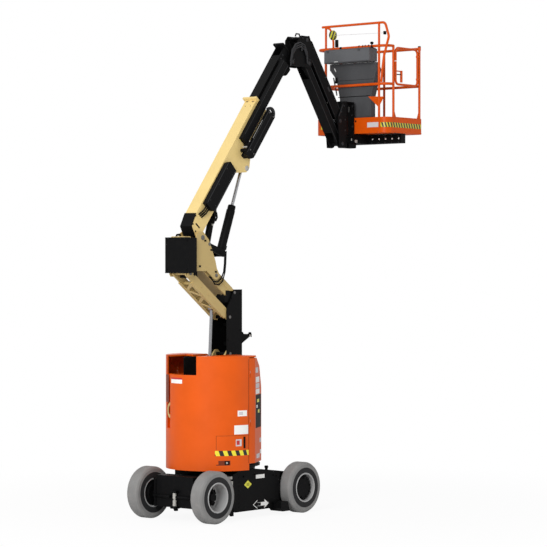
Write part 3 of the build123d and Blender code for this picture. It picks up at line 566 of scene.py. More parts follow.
for side, name in sides:
    line, inner = side * 93.6, side * 91
    for height in (1.206, 1.801):
        hinge = f"{name}_{int(height * 1000)}"
        leaf = wrapped(min(line, inner), max(line, inner), height - 0.018, height + 0.018, 0.003)
        hang(f"door_{name}", (orange_coat, "orange_paint"), **{f"hinge_leaf_{hinge}": leaf})
        spots = [round_swing(side * 92.2, height + dz, 0.603)[0] for dz in (-0.009, 0.009)]
        rivets = spread(cap_screw(0.0035), spots, round_swing(line, 0, 1)[1])
        hang(f"door_{name}", zinc, **{f"hinge_screws_{hinge}": rivets})

# Looped grab handle of bent rod in the tail groove, in the tower's cream.
cream_enamel = enamel("cream_enamel", (0.51, 0.375, 0.15), gloss=0.4, dust=(0.35, 0.28, 0.16), dusty=0.12,
                      mottle=0.04, shine=0.3)
cream_paint = (cream_enamel, "cream_paint")
bpy.ops.object.select_all(action="DESELECT")
bpy.ops.mesh.primitive_torus_add(major_radius=0.034, minor_radius=0.009, major_segments=40, minor_segments=12,
                                 location=at(-0.7, 1.325, 0.283), rotation=(0, pi / 2, 0))
settle(move=False, size=False)
edit()
bpy.ops.transform.resize(value=(1, 1, 2.3))
handle = close()
bpy.ops.object.shade_smooth()
hang("turntable", cream_paint, tail_handle=handle)

# ---- batteries ----
# Two trays of traction batteries behind the doors, in dark moulded cases, with a low
# round cap on each cell.
battery_case = enamel("battery_case", (0.03, 0.03, 0.035), gloss=0.5, dusty=0.15, peel=0.1)
dress(battery_case, "battery_left", "battery_right")
for side, name in sides:
    cells = [at(-0.45 + 0.08 * k, 1.188, side * 0.36 + dy) for k in range(6) for dy in (-0.05, 0.05)]
    caps = spread(stud(0.018, 0.006, 0.013, 0.012, 16), cells, upward)
    hang("turntable", red_vinyl, **{f"cell_caps_{name}": caps})

# ---- tower ----
# Folded plate arms in cream enamel between black fabricated uprights, with steel pins in every
# pivot, a zigzag of stiffeners between the upper arm's plates and hoses led up the mast.
carrier_grey = enamel("carrier_grey", (0.016, 0.016, 0.018), gloss=0.45, dust=(0.2, 0.19, 0.17), dusty=0.05,
                      shine=0.25)
dull_steel = enamel("dull_steel", (0.1, 0.095, 0.09), gloss=0.4, dusty=0.1, peel=0.1)
# A darker cream that is painted shade, for the shadowed inside of the upper link's channel.
painted_shade_cream = enamel("painted_shade_cream", (0.34, 0.25, 0.12), gloss=0.6, dusty=0.1, shine=0.2)
black_edge, grey_hose = (carrier_grey, "black_paint"), (carrier_grey, "hose_rubber")
hose_rubber = (black_enamel, "hose_rubber")
dress(cream_enamel, "lower_arm", "lower_link", "upper_arm", "upper_link", "top_upright")
dress(black_enamel, "mid_upright", "tail_weight", "lift_bracket")
mast_half, arm_half, head_half = 0.13, 0.112, 0.15  # from the middle to a member's outer face


def member(start, angle):
    """Points on a straight member: by distance from its start, distance below its line, and Y."""
    turn = radians(angle)

    def point(run, below=0.0, y=0.0):
        return Vector((start.x + run * cos(turn) + below * sin(turn), y,
                       start.z + run * sin(turn) - below * cos(turn)))
    return point


def square_to(angle):
    """The way up from a member of that angle."""
    return Vector((-sin(radians(angle)), 0, cos(radians(angle))))


def strut(start, end, normal, wide, thick):
    """A flat bar between two points, its broad side along a normal."""
    start, end, normal = Vector(start), Vector(end), Vector(normal)
    run = (end - start).normalized()
    across = normal.cross(run).normalized()
    piece = slab((0, -wide / 2, -thick / 2), ((end - start).length, wide / 2, thick / 2), thick * 0.2)
    settle()
    piece.rotation_mode = "QUATERNION"
    piece.rotation_quaternion = Matrix((run, across, run.cross(across))).transposed().to_quaternion()
    piece.location = start
    return piece


def strips(on, runs, ys, normal, wide, thick):
    """Flat bars along a member, each from one distance to another at a distance below its line."""
    return gathered([strut(on(start, below, y), on(end, below, y), normal, wide, thick)
                     for start, end, below in runs for y in ys])


def both_sides(pattern, pivots, half):
    """A pattern at each pivot on both sides of a member."""
    return repeated(pattern, [((pivot.x, side * half, pivot.z), (0, side, 0))
                              for pivot in pivots for side, _ in sides])


def screws(size, half, points):
    """Cap screws at points on both sides of a member."""
    return both_sides(cap_screw(size), points, half)


tower_low, tower_high = 51.3, 144  # the arms' angles, in degrees
base_pin = at(-0.7, 1.2)
on_lower_arm = member(base_pin, tower_low)
mid_low_pin = on_lower_arm(1.033)
mid_link_pin = at(0.006, 1.881)
mid_arm_pin = mid_low_pin + Vector((-0.006, 0, 0.454))
mid_top_pin = mid_arm_pin + Vector((0.089, 0, 0.302))
on_upper_arm = member(mid_arm_pin, tower_high)
on_upper_link = member(mid_top_pin, tower_high)
top_arm_pin = on_upper_arm(0.925)
top_link_pin = top_arm_pin + Vector((0.089, 0, 0.302))
boom_pivot = top_arm_pin + Vector((0.223, 0, 0.434))
lift_base = boom_pivot + Vector((0.486, 0, -0.196))

# The mast with its ribs and hoses, and the hook that holds the folded boom.
ribs = [slab(at(0.1, height - 0.025, -0.117), at(0.15, height + 0.025, 0.117), 0.006)
        for height in (1.92, 2.12, 2.36)]
mast_run = ((1.84, 0), (2.05, 0.006), (2.25, -0.005), (2.44, 0.004), (2.6, 0))
mast_bolts = ((0.14, 2.745), (0.14, 2.3), (-0.09, 2.18), (-0.09, 1.98), (0.14, 1.93), (-0.02, 2.69))
hook = [(0.17, 2.1), (0.24, 2.135), (0.37, 2.21), (0.37, 2.24), (0.3, 2.225), (0.17, 2.24)]
pads = [slab(at(0.375, 2.235, y - 0.01), at(0.41, 2.262, y + 0.01), 0.004) for y in (-0.066, 0.066)]
hang("mid_upright", dull_steel, mast_pin_heads=both_sides(
    stud(0.02, 0.0035, 0.016, 0.005), [mid_low_pin, mid_link_pin, mid_arm_pin, mid_top_pin], mast_half))
hang("mid_upright", black_paint, **numbered("mast_rib", ribs), hook_pads=gathered(pads),
     mast_screws=screws(0.009, mast_half, [at(*spot) for spot in mast_bolts]),
     mast_inner_plate=slab(at(-0.12, 2.64, -0.112), at(0.08, 2.79, -0.1), 0.006),
     hook_body=drawn(hook, -0.058, 0.116))
hang("mid_upright", hose_rubber, **numbered("mast_hose", [
    piped([at(0.085, z, y + sway) for z, sway in mast_run], 0.011) for y in (-0.05, -0.015, 0.02)]))
hang("mid_upright", zinc, hook_rod=rod(at(0.385, 2.222, -0.075), at(0.385, 2.222, 0.075), 0.012))

# The upper link is a deep folded channel: side plates and a web under the pinned bars. The web's darker cream
# is painted shade for the channel's shadowed inside.
face = square_to(tower_high)
link_bolts = [on_upper_link(run) for run in (0.2, 0.45, 0.7)]
cheek = [(0.05, 0.86, -0.038)]
hang("upper_link", cream_paint, upper_link_screws=screws(0.007, arm_half, link_bolts), **{
    f"upper_link_cheek_{name}": strips(on_upper_link, cheek, [side * 0.099], (0, side, 0), 0.15, 0.018)
    for side, name in sides})
hang("upper_link", (painted_shade_cream, "cream_paint"),
     upper_link_web=strips(on_upper_link, [(0.12, 0.8, -0.108)], [0], face, 0.18, 0.008))
stations = [0.1 + 0.135 * k for k in range(6)]
zigzag = [strut(on_upper_arm(start, -0.052, y), on_upper_arm(end, -0.052, -y), face, 0.04, 0.008)
          for start, end, y in zip(stations, stations[1:], (0.086, -0.086) * 3)]
arm_bolts = ((0.14, 0.03), (0.32, 0), (0.48, 0), (0.64, 0), (0.78, -0.03))
hang("upper_arm", cream_paint, upper_arm_lattice=gathered(zigzag),
     upper_arm_folds=strips(on_upper_arm, [(0.08, 0.79, -0.054)], (-0.078, 0.078), face, 0.022, 0.008),
     upper_arm_screws=screws(0.008, arm_half, [on_upper_arm(*spot) for spot in arm_bolts]))
hang("upper_arm", black_paint, hose_guide=slab(at(-0.745, 2.945, -0.082), at(-0.6, 3.02, 0.082), 0.01))
hang("lower_arm", cream_paint,
     lower_arm_screws=screws(0.008, arm_half, [on_lower_arm(run, -0.01) for run in (0.3, 0.5, 0.75)]))

# Head of the tower: pin heads under keeper bars, the crown, and the hoses to the lift cylinder.
big_head = turned([(0.03, 0), (0.03, 0.006), (0.025, 0.009), (0.012, 0.009)])
head_pins = [top_arm_pin, top_link_pin, at(-0.336, 2.976), at(-0.46, 3.36)]
hang("top_upright", dull_steel, boom_pivot_heads=both_sides(big_head, [boom_pivot], head_half),
     head_pin_heads=both_sides(stud(0.022, 0.005, 0.017, 0.008), head_pins, head_half))
keeper_bolt = cap_screw(0.006)
keeper_bolt.location.z = 0.007
keeper = gathered([slab((-0.016, -0.011, 0), (0.016, 0.011, 0.007), 0.002), keeper_bolt])
keeper_spots = ((-0.541, 3.4), (-0.43, 3.288), (-0.64, 3.089), (-0.348, 3.02), (-0.8, 3.36))
weight_bolts = [at(-0.89, z, y) for y in (-0.165, 0.165) for z in (3.05, 3.4)]
hang("top_upright", black_paint,
     pin_keepers=both_sides(keeper, [at(*spot) for spot in keeper_spots], head_half),
     tail_weight_screws=spread(cap_screw(0.009), weight_bolts, to_tail),
     **numbered("tail_weight_lip", [slab(at(-0.893, low, -0.193), at(-0.86, low + 0.013, 0.193), 0.005)
                                    for low in (3.005, 3.427)]))
hang("top_upright", cream_paint, head_crown=slab(at(-0.855, 3.40, -0.1), at(-0.74, 3.452, 0.13), 0.01))
loops = [[at(x + shift, z + drop * bend, -0.1255) for x, z, bend in (
    (-0.15, 3.27, 0), (-0.158, 3.12, 0), (-0.172, 3.02, 0), (-0.215, 2.94, 1), (-0.285, 2.895, 1),
    (-0.36, 2.905, 1), (-0.44, 2.96, 0))] for shift, drop in ((0.0, 0.0), (0.024, -0.035))]
hang("top_upright", hose_rubber, **numbered("lift_hose", [piped(loop, 0.008) for loop in loops]),
     crown_hose=piped([at(-0.86, 3.40, 0.06), at(-0.83, 3.47, 0.05), at(-0.77, 3.475, 0.06),
                       at(-0.735, 3.42, 0.07)], 0.012))

# ---- cylinders ----
# Black seamless barrels with gland rings, port blocks and feed pipes, and honed rods in
# hard chrome. The lift cylinder's barrel wears a sleeve.
chrome = bpy.data.materials.new("hard_chrome")
chrome.use_nodes = True
tree = chrome.node_tree
streak = node(tree, "TexNoise", {"Vector": node(tree, "TexCoord").outputs["Object"], "Scale": 90, "Detail": 5})
tone = node(tree, "ValToRGB", {"Fac": streak.outputs["Fac"]})
tone.color_ramp.elements[0].color = (0.24, 0.24, 0.25, 1)
tone.color_ramp.elements[1].color = (0.34, 0.34, 0.35, 1)
rough = node(tree, "MapRange", {"Value": streak.outputs["Fac"], "To Min": 0.16, "To Max": 0.22})
shader = tree.nodes["Principled BSDF"].inputs
shader["Metallic"].default_value = 1
tree.links.new(tone.outputs["Color"], shader["Base Color"])
tree.links.new(rough.outputs["Result"], shader["Roughness"])
dress(chrome, "tower_rod", "lift_rod", "jib_rod")
dress(black_enamel, "tower_barrel", "lift_barrel", "jib_barrel")
boom_angle, jib_angle = 52, -55.5
on_boom = member(boom_pivot, boom_angle)
knuckle_pin = on_boom(2.865)
jib_pin = knuckle_pin + Vector((0.288, 0, 0.299))
jib_link_pin = jib_pin + Vector((0.045, 0, -0.297))
on_jib = member(jib_pin, jib_angle)
support_pin = on_jib(1.22)
for body, foot, rod_eye, radius, length, side in (  # side of the cylinder that its ports are on
        ("tower_barrel", on_lower_arm(0.166, 0.335), mid_arm_pin + Vector((-0.195, 0, 0.114)), 0.05, 0.8, 1),
        ("lift_barrel", lift_base, on_boom(1.235, 0.165), 0.046, 0.64, 1),
        ("jib_barrel", jib_link_pin, support_pin, 0.036, 0.78, -1)):
    run = (rod_eye - foot).normalized()
    out = Vector((run.z, 0, -run.x)) * side
    snug, proud = radius + 0.001, radius + 0.0035
    gland = turned([(snug, 0), (proud, 0.004), (proud, 0.04), (snug, 0.048), (radius * 0.7, 0.052)], 36)
    collar = turned([(snug, 0), (radius + 0.006, 0.006), (radius + 0.006, 0.02), (snug, 0.026)], 36)
    feed = [foot + run * station + out * (radius + 0.016) * lift for station, lift in (
        (length - 0.09, 1), (length - 0.12, 1.08), (0.2, 1.08), (0.13, 1))]
    valve = slab((-0.024, -0.03, 0), (0.024, 0.03, 0.03), 0.004)
    settle()
    hang(body, black_paint, **{
        f"{body}_gland": face_along(gland, foot + run * (length - 0.05), run),
        f"{body}_collar": face_along(collar, foot + run * 0.045, run),
        f"{body}_feed": piped(feed, 0.006),
        f"{body}_valve": face_along(valve, foot + run * 0.1 + out * (radius - 0.006), out)})
    if body == "lift_barrel":
        sleeve = turned([(0.047, 0), (0.054, 0.005), (0.054, 0.52), (0.047, 0.525)], 40)
        hang(body, black_paint, lift_barrel_sleeve=face_along(sleeve, foot + run * 0.06, run))
    port = turned([(0.016, 0), (0.016, 0.014), (0.012, 0.016), (0.012, 0.026)], 16)
    ports = [foot + run * station + out * (radius - 0.004) for station in (0.1, length - 0.09)]
    hang(body, zinc, **{f"{body}_ports": spread(port, ports, out)})

# ---- boom ----
# The two-stage box boom: a cream outer tube with a flanged mouth and wear pads, a black
# inner tube that slides in it, and a black cap over its heel.
boom_cream = enamel("boom_cream", (0.8, 0.6, 0.24), gloss=0.36, dust=(0.5, 0.4, 0.22), dusty=0.1, mottle=0.04,
                    shine=0.3)
pad_brown = enamel("pad_brown", (0.22, 0.15, 0.07), gloss=0.6, dusty=0.1)
dress(boom_cream, "boom_tube")
dress(black_enamel, "boom_end_cap", "fly_tube")
boom_up = square_to(boom_angle)
boom_half, fly_half = 0.09, 0.074


def on_boom_at(*spots):
    """Points on the boom."""
    return [on_boom(*spot) for spot in spots]


mouth = [on_boom(2.051, -0.242, y) for y in (-0.085, -0.03, 0.03, 0.085)]
seams = [(0.22, 2.02, -0.21), (0.22, 2.02, 0.002)]
hang("boom", (boom_cream, "cream_paint"),
     mouth_screws=spread(cap_screw(0.006), mouth, on_boom(1) - on_boom(0)),
     mouth_side_screws=screws(0.006, boom_half, on_boom_at((1.98, -0.18), (1.98, -0.03), (1.92, -0.1))),
     **{f"boom_weld_{name}": strips(on_boom, seams, [side * 0.0895], to_right, 0.004, 0.002)
        for side, name in sides})
pads = [strut(*on_boom_at((2.005, -0.2235, y - 0.018), (2.005, -0.2235, y + 0.018)), boom_up, 0.016, 0.006)
        for y in (-0.05, 0.05)]
holes = on_boom_at((1.93, -0.2222, -0.045), (1.93, -0.2222, 0.04))
hang("boom", pad_brown, wear_pads=gathered(pads),
     pad_holes=spread(stud(0.007, 0.001, 0.005, 0.0015, 20), holes, boom_up))
hang("boom", yellow_vinyl,
     boom_mark=strut(*on_boom_at((1.43, -0.145, -0.0905), (1.475, -0.12, -0.0905)), to_right, 0.03, 0.001))
hang("boom", black_enamel, boom_name_plate=strips(on_boom, [(0.7, 1.0, 0.0135)], [0], boom_up, 0.09, 0.004))


def stubs(runs, inner, outer, radius):
    """Round bars that stand out of the boom's right side."""
    return gathered([rod(on_boom(run, -0.05, inner), on_boom(run, -0.05, outer), radius) for run in runs])


# Levelling cylinder and small hoses that hang under the heel of the boom.
drop = ((-0.31, 3.86, 0), (-0.275, 3.8, 0), (-0.262, 3.74, 0.01), (-0.28, 3.68, 0.01), (-0.31, 3.62, 0))
hoses = [piped([at(x + sag, z, y + sway) for x, z, sway in drop], 0.0105)
         for y, sag in ((-0.085, 0.0), (-0.065, 0.012), (-0.045, 0.022), (-0.02, 0.03))]
hang("boom", black_paint, master_cylinder=rod(at(-0.335, 3.40), at(-0.258, 3.70), 0.042),
     carrier_drums=stubs((1.345, 1.445), -0.1, -0.155, 0.024),
     heel_slot=strut(*on_boom_at((0.098, -0.155, -0.0905), (0.098, -0.065, -0.0905)), to_right, 0.02, 0.002),
     end_cap_screws=screws(0.008, 0.092, on_boom_at((0.06, -0.19), (0.02, -0.1), (0.17, -0.215))))
hang("boom", hose_rubber, **numbered("master_hose", hoses),
     master_hose_high=piped([at(-0.262, 3.66, -0.055), at(-0.245, 3.745, -0.05), at(-0.215, 3.745, -0.045),
                             at(-0.21, 3.69, -0.05), at(-0.24, 3.65, -0.055)], 0.011))
hang("boom", zinc, carrier_rods=stubs((1.4, 1.49), -0.088, -0.165, 0.011),
     lift_eye_heads=both_sides(stud(0.034, 0.005, 0.026, 0.008, 30), [on_boom(1.235, 0.165)], boom_half),
     master_fittings=spread(cap_screw(0.012), [at(-0.262, 3.66, -0.044), at(-0.285, 3.6, -0.044)], to_right))

# The fly's sides and its head: a raised band down each side, the head's bolts and its foot.
for side, name in sides:
    band = strips(on_boom, [(2.06, 2.72, -0.1)], [side * 0.0742], (0, side, 0), 0.05, 0.0024)
    hang("fly", black_paint, **{f"fly_band_{name}": band})
head_bolts = on_boom_at((2.77, -0.17), (2.77, -0.02), (2.83, -0.17))
hang("fly", black_edge, fly_head_screws=screws(0.01, fly_half, head_bolts))
hang("fly", black_paint, fly_foot=strut(on_boom(2.69, 0.04), on_boom(2.82, 0.055), to_right, 0.07, 0.12))

# ---- hose carrier ----
# Pressed black troughs on the boom's right side with the chain and the tube that feed
# the hoses out: folded edges, link plates round the loop and bolts.
dress(black_enamel, "hose_box", "hose_trough", "hose_chain", "hose_tube")
loop_middle = on_boom(1.99, 0, -0.188)
links = []
for step in range(9):
    bearing = radians(boom_angle - 80 + 20 * step)
    outward = Vector((cos(bearing), 0, sin(bearing)))
    half_link = Vector((-outward.z, 0, outward.x)) * 0.0095
    middle = loop_middle + outward * 0.066
    links.append(strut(middle - half_link, middle + half_link, outward, 0.036, 0.036))
hang("boom", grey_hose, chain_links=gathered(links))
trough_bolts = [on_boom(*spot, -0.21) for spot in ((1.37, 0.05), (1.37, -0.03), (1.98, 0.055), (1.98, -0.03))]
box_bolts = [on_boom(*spot, -0.15) for spot in (
    (0.45, -0.17), (0.45, -0.06), (0.7, -0.17), (0.95, -0.17), (0.95, -0.05))]
trough_edges = [(1.31, 2.0, -0.058), (1.36, 2.0, 0.078)]
box_edges = [(0.39, 1.02, -0.195), (0.39, 1.02, -0.03)]
tube_edges = [(1.5, 2.72, -0.178), (1.5, 2.72, -0.077)]
hang("boom", dull_steel, trough_screws=spread(cap_screw(0.008), trough_bolts, to_right))
hang("boom", zinc, trough_wire=strips(on_boom, [(1.53, 1.83, -0.062)], [-0.19], boom_up, 0.006, 0.006))
hang("boom", black_edge, lower_box_screws=spread(cap_screw(0.007), box_bolts, to_right),
     trough_folds=strips(on_boom, trough_edges, [-0.211], to_right, 0.008, 0.004),
     trough_crease=strips(on_boom, [(1.36, 1.97, 0.015)], [-0.2105], to_right, 0.006, 0.003),
     lower_box_folds=strips(on_boom, box_edges, [-0.151], to_right, 0.01, 0.004))
hang("fly", black_edge, hose_tube_edges=strips(on_boom, tube_edges, [-0.1545], to_right, 0.006, 0.003))
hang("boom", hose_rubber, **numbered("box_hose", [
    piped(on_boom_at((0.22, below - 0.02, -0.097), (0.3, below, -0.115), (0.38, below, -0.12)), 0.009)
    for below in (-0.16, -0.13, -0.1)]))

# ---- jib ----
# Black plate work: the knuckle that stays level, the jib's arm and link, and the platform's
# support with its rotator housing. Pin heads, bolted gussets and the hoses over the knuckle.
dress(black_enamel, "jib_base", "jib_arm", "jib_link", "jib_support")
support_link_pin = support_pin + Vector((0.045, 0, -0.297))
on_jib_link = member(jib_link_pin, jib_angle)


def from_pin(pin, spots, y=0.0):
    """Points at X and Z from a pin."""
    return [pin + Vector((x, y, z)) for x, z in spots]


rim = ((-0.035, 0.06), (0.124, 0.212), (0.124, 0.29), (0.173, 0.345), (0.288, 0.345))
edges = []
for side, _ in sides:
    points = from_pin(knuckle_pin, rim, side * 0.114)
    edges += [strut(a, b, (0, side, 0), 0.01, 0.005) for a, b in zip(points, points[1:])]
clamps = [strut(*from_pin(knuckle_pin, ((x, z), (x + 0.001, z + 0.1)), -0.122), to_right, 0.02, 0.016)
          for x, z in ((-0.02, 0.06), (0.17, 0.15))]
over = ((-0.06, -0.05), (-0.03, 0.08), (0.04, 0.17), (0.13, 0.2), (0.22, 0.17), (0.27, 0.08), (0.28, 0.0))
knuckle_bolts = ((0.02, 0.03), (0.2, 0.2), (0.28, 0.12), (0.34, 0.05), (0.2, 0.318))
knuckle_eye = ((0.19, 0.352), (0.205, 0.382), (0.265, 0.382), (0.28, 0.352))
hang("jib_base", black_paint, knuckle_edge=gathered(edges))
hang("jib_base", zinc, knuckle_grease_cap=face_along(cap_screw(0.012), at(1.3375, 5.9, -0.113), to_right))
hang("jib_base", grey_hose, **numbered("knuckle_hose", [
    piped(from_pin(knuckle_pin + Vector((0, 0, lift)), over, -0.128), 0.01) for lift in (0, 0.028, 0.056)]))
knuckle_pins = [knuckle_pin, jib_pin, jib_link_pin]
hang("jib_base", black_edge, hose_clamps=gathered(clamps),
     knuckle_eye=piped(from_pin(knuckle_pin, knuckle_eye), 0.009),
     knuckle_screws=screws(0.01, arm_half, from_pin(knuckle_pin, knuckle_bolts)),
     knuckle_pin_heads=both_sides(stud(0.026, 0.005, 0.02, 0.008), knuckle_pins, arm_half))

arm_edges, link_edges = [(0.14, 1.1, -0.094), (0.14, 1.1, 0.044)], [(0.05, 1.17, -0.045), (0.05, 1.17, 0.045)]
jib_folds = [strips(on_jib, arm_edges, [side * 0.0955], (0, side, 0), 0.006, 0.003) for side, _ in sides]
jib_straps = [strut(on_jib(run, -0.102, -0.07), on_jib(run, -0.102, 0.07), square_to(jib_angle), 0.05, 0.004)
              for run in (0.3, 0.62, 0.94)]
jib_bolts = [on_jib(0.16, -0.07), on_jib(0.16, 0.02), on_jib(0.6, -0.07), on_jib(0.85, -0.07)]
hang("jib_arm", black_edge, jib_arm_screws=screws(0.009, 0.095, jib_bolts), jib_arm_folds=gathered(jib_folds),
     jib_arm_straps=gathered(jib_straps))
hang("jib_arm", carrier_grey,
     jib_arm_plate=strips(on_jib, [(0.73, 0.8, -0.045)], [-0.0955], to_right, 0.03, 0.001))
jib_run = ((0.12, -0.108), (0.4, -0.112), (0.8, -0.112), (1.08, -0.108))
hang("jib_arm", grey_hose, **numbered("jib_hose", [
    piped([on_jib(*spot, y) for spot in jib_run], 0.0095) for y in (-0.05, -0.025, 0.0)]))
link_folds = [strips(on_jib_link, link_edges, [side * 0.0725], (0, side, 0), 0.008, 0.003) for side, _ in sides]
hang("jib_link", black_edge, jib_link_folds=gathered(link_folds))
support_bolts = ((0.08, 0.2), (0.02, 0.12), (0.1, 0.02), (0.1, -0.12), (0.05, -0.3))
hang("jib_support", black_edge, support_screws=screws(0.009, arm_half, from_pin(support_pin, support_bolts)),
     support_edge=strut(*from_pin(support_pin, ((-0.03, 0.06), (0.06, 0.22)), -0.1125), to_right, 0.012, 0.004),
     support_pin_heads=both_sides(stud(0.024, 0.005, 0.018, 0.008), [support_pin, support_link_pin], arm_half))

# ---- platform ----
# An orange pressed tray with welded tube rails, a drop-in gate, a guard hoop with its trip
# wire, a grey moulded console under a lid, all on a black beam with a row of holes.
orange_rail = enamel("orange_rail", (0.64, 0.08, 0.0015), gloss=0.36, dust=(0.4, 0.12, 0.02), dusty=0.03,
                     mottle=0.05, shine=0.16)
console_grey = enamel("console_grey", (0.055, 0.056, 0.06), gloss=0.6, dust=(0.14, 0.13, 0.12), dusty=0.1,
                      peel=0.15, shine=0.3)
lid_grey = enamel("lid_grey", (0.1, 0.103, 0.11), gloss=0.6, dust=(0.2, 0.19, 0.18), dusty=0.1, peel=0.15,
                  shine=0.3)
rail_paint = (orange_rail, "orange_paint")
console_plastic, lid_plastic = (console_grey, "console_plastic"), (lid_grey, "console_plastic")
dress(orange_rail, "platform_floor", "platform_rails", "guard_hoop", "gate")
dress(black_enamel, "platform_bracket")
dress(console_grey, "control_console")
dress(lid_grey, "console_lid")
floor_low, floor_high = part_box("platform_floor")
floor_z = support_pin.z - 0.14
tail_side, near_side, front_side = floor_low.x, floor_low.y, floor_high.x

# The toe board's warning band, which runs round its near rear corner, and its folded edges.
toe_stripes = striped("toe_stripes", (0.6, 0.52, 0.03), (0.004, 0.004, 0.004), 0.056, 0.4)
band_low, band_high = floor_z + 0.06, floor_z + 0.124
corner_radius = 0.11
corner = Vector((tail_side + corner_radius, near_side + corner_radius, 0))
hang("platform", toe_stripes,
     toe_band_corner=wrapped(-180, -90, band_low, band_high, 0.001, corner, corner_radius, 10),
     toe_band_near=slab((tail_side + 0.12, near_side - 0.001, band_low),
                        (front_side - 0.012, near_side, band_high), 0.0003),
     toe_band_front=slab((tail_side - 0.001, 0.42, band_low), (tail_side, 0.5, band_high), 0.0003))
hang("platform", pale_vinyl,
     toe_plate=slab((tail_side - 0.001, -0.466, floor_z + 0.063), (tail_side, -0.28, floor_z + 0.128), 0.0003))
toe_lips = [slab((tail_side + 0.12, near_side - 0.004, floor_z + low),
                 (front_side - 0.02, near_side + 0.006, floor_z + high), 0.003)
            for low, high in ((0.188, 0.198), (-0.012, -0.004))]

# Feet and caps of the posts, and the little gussets either side of the gateway.
rail_y = -0.588
foot = turned([(0.03, 0), (0.03, 0.008), (0.018, 0.014), (0.017, 0.03)], 24)
posts = ((2.537, 0.433), (2.537, -0.46), (2.679, -0.588), (3.253, -0.588), (3.253, 0), (3.253, 0.5),
         (2.727, 0.588), (3.063, 0.588))
web_low, web_high = floor_z + 0.19, floor_z + 0.29
webs = (((2.693, web_low), (2.735, web_low), (2.693, web_high)),
        ((3.239, web_low), (3.239, web_high), (3.195, web_low)))
corner_cap = turned([(0.02, 0), (0.021, 0.006), (0.017, 0.012), (0.008, 0.015)], 24)
rail_cap = turned([(0.017, 0), (0.015, 0.006), (0.006, 0.008)], 20)
hang("platform", rail_paint, toe_board_lips=gathered(toe_lips),
     post_feet=spread(foot, [at(x, floor_z, y) for x, y in posts], upward),
     post_gussets=gathered([drawn(web, rail_y - 0.004, 0.008) for web in webs]),
     post_caps=face_along(rail_cap, at(2.679, floor_z + 1.131, rail_y), upward))
hang("platform", black_paint,
     corner_post_cap=face_along(corner_cap, at(3.253, floor_z + 1.154, rail_y), upward))

# Gate latch: a short stub on the lower rail with two bars across to the gate's post.
stub, bar, dark_bar = [
    slab(at(left, floor_z + low, rail_y - half), at(right, floor_z + high, rail_y + half), edge)
    for left, right, half, low, high, edge in (
        (2.837, 2.867, 0.012, 0.66, 0.815, 0.004), (2.739, 2.847, 0.01, 0.798, 0.812, 0.003),
        (2.739, 2.839, 0.008, 0.755, 0.768, 0.003))]
hang("gate", rail_paint, gate_latch=gathered([stub, bar]))
hang("gate", black_paint, gate_latch_bar=dark_bar)

# Trip wire over the console, its yellow and black reel and the sensor that it ends in.
reel_stripes = striped("reel_stripes", (0.62, 0.6, 0.03), (0.006, 0.006, 0.006), 0.06, -0.5)
wire_x = 2.53
reel = turned([(0.045, 0), (0.062, 0.008), (0.066, 0.02), (0.066, 0.034), (0.062, 0.046), (0.045, 0.054)], 36)
stem = ((5.98, 0.30), (6.06, 0.30), (6.1, 0.305))
arm = ((6.2, 0.33), (6.25, 0.36), (6.268, 0.42))
hang("platform", reel_stripes, wire_reel=face_along(reel, at(wire_x, 6.164, 0.335), to_right))
hang("platform", rail_paint, reel_stem=piped([at(wire_x, *spot) for spot in stem], 0.014),
     reel_arm=piped([at(wire_x, *spot) for spot in arm], 0.013))
hang("platform", pale_vinyl, trip_wire=rod(at(wire_x, 6.162, 0.27), at(wire_x, 6.142, -0.55), 0.0022, 10))
hang("platform", black_paint,
     reel_switch=slab(at(wire_x - 0.018, 6.0, 0.225), at(wire_x + 0.018, 6.1, 0.262), 0.006),
     wire_sensor=slab(at(wire_x - 0.018, 6.12, -0.575), at(wire_x + 0.018, 6.165, -0.545), 0.006))

# Console lid: latches, a lip, a crown, toggles, a joystick, a stop button and a key.
lid_low, lid_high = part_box("console_lid")


def on_lid(xs, ys, zs, edge):
    """A block by the lid: X from its rear edge, Z from its top."""
    corners = [(lid_low.x + x, y, lid_high.z + z) for x, y, z in zip(xs, ys, zs)]
    return slab(*corners, edge)


def stood_on_lid(steps, facets, *ys):
    """Turned pieces that stand in a row on the lid."""
    spots = [Vector((lid_low.x + 0.085, y, lid_high.z + 0.011)) for y in ys]
    return spread(turned(steps, facets), spots, upward)


bottom = lid_low.z - lid_high.z
lip_ys, crown_ys = [(lid_low.y + inset, lid_high.y - inset) for inset in (0.004, 0.01)]
latches = [on_lid((-0.006, 0.001), (y - 0.02, y + 0.02), (-0.028, 0.001), 0.003) for y in (0.325, -0.2)]
hang("platform", console_plastic, lid_latches=gathered(latches),
     lid_lip=on_lid((-0.003, 0.002), lip_ys, (bottom + 0.002, bottom + 0.012), 0.002))
hang("platform", lid_plastic,
     lid_crown=on_lid((0.01, lid_high.x - lid_low.x - 0.01), crown_ys, (0, 0.012), 0.006),
     lid_key=stood_on_lid([(0.01, 0), (0.01, 0.022), (0.007, 0.026)], 16, 0.352))
toggle = [(0.013, 0), (0.013, 0.006), (0.006, 0.01), (0.008, 0.036), (0.005, 0.042)]
stick = [(0.024, 0), (0.02, 0.012), (0.009, 0.022), (0.009, 0.042), (0.022, 0.052), (0.024, 0.066),
         (0.014, 0.078)]
hang("platform", black_paint, lid_toggles=stood_on_lid(toggle, 16, -0.137, -0.199, -0.24, -0.296),
     joystick=stood_on_lid(stick, 24, -0.35),
     stop_button=stood_on_lid([(0.014, 0), (0.018, 0.012), (0.018, 0.03), (0.01, 0.038)], 24, 0.17))

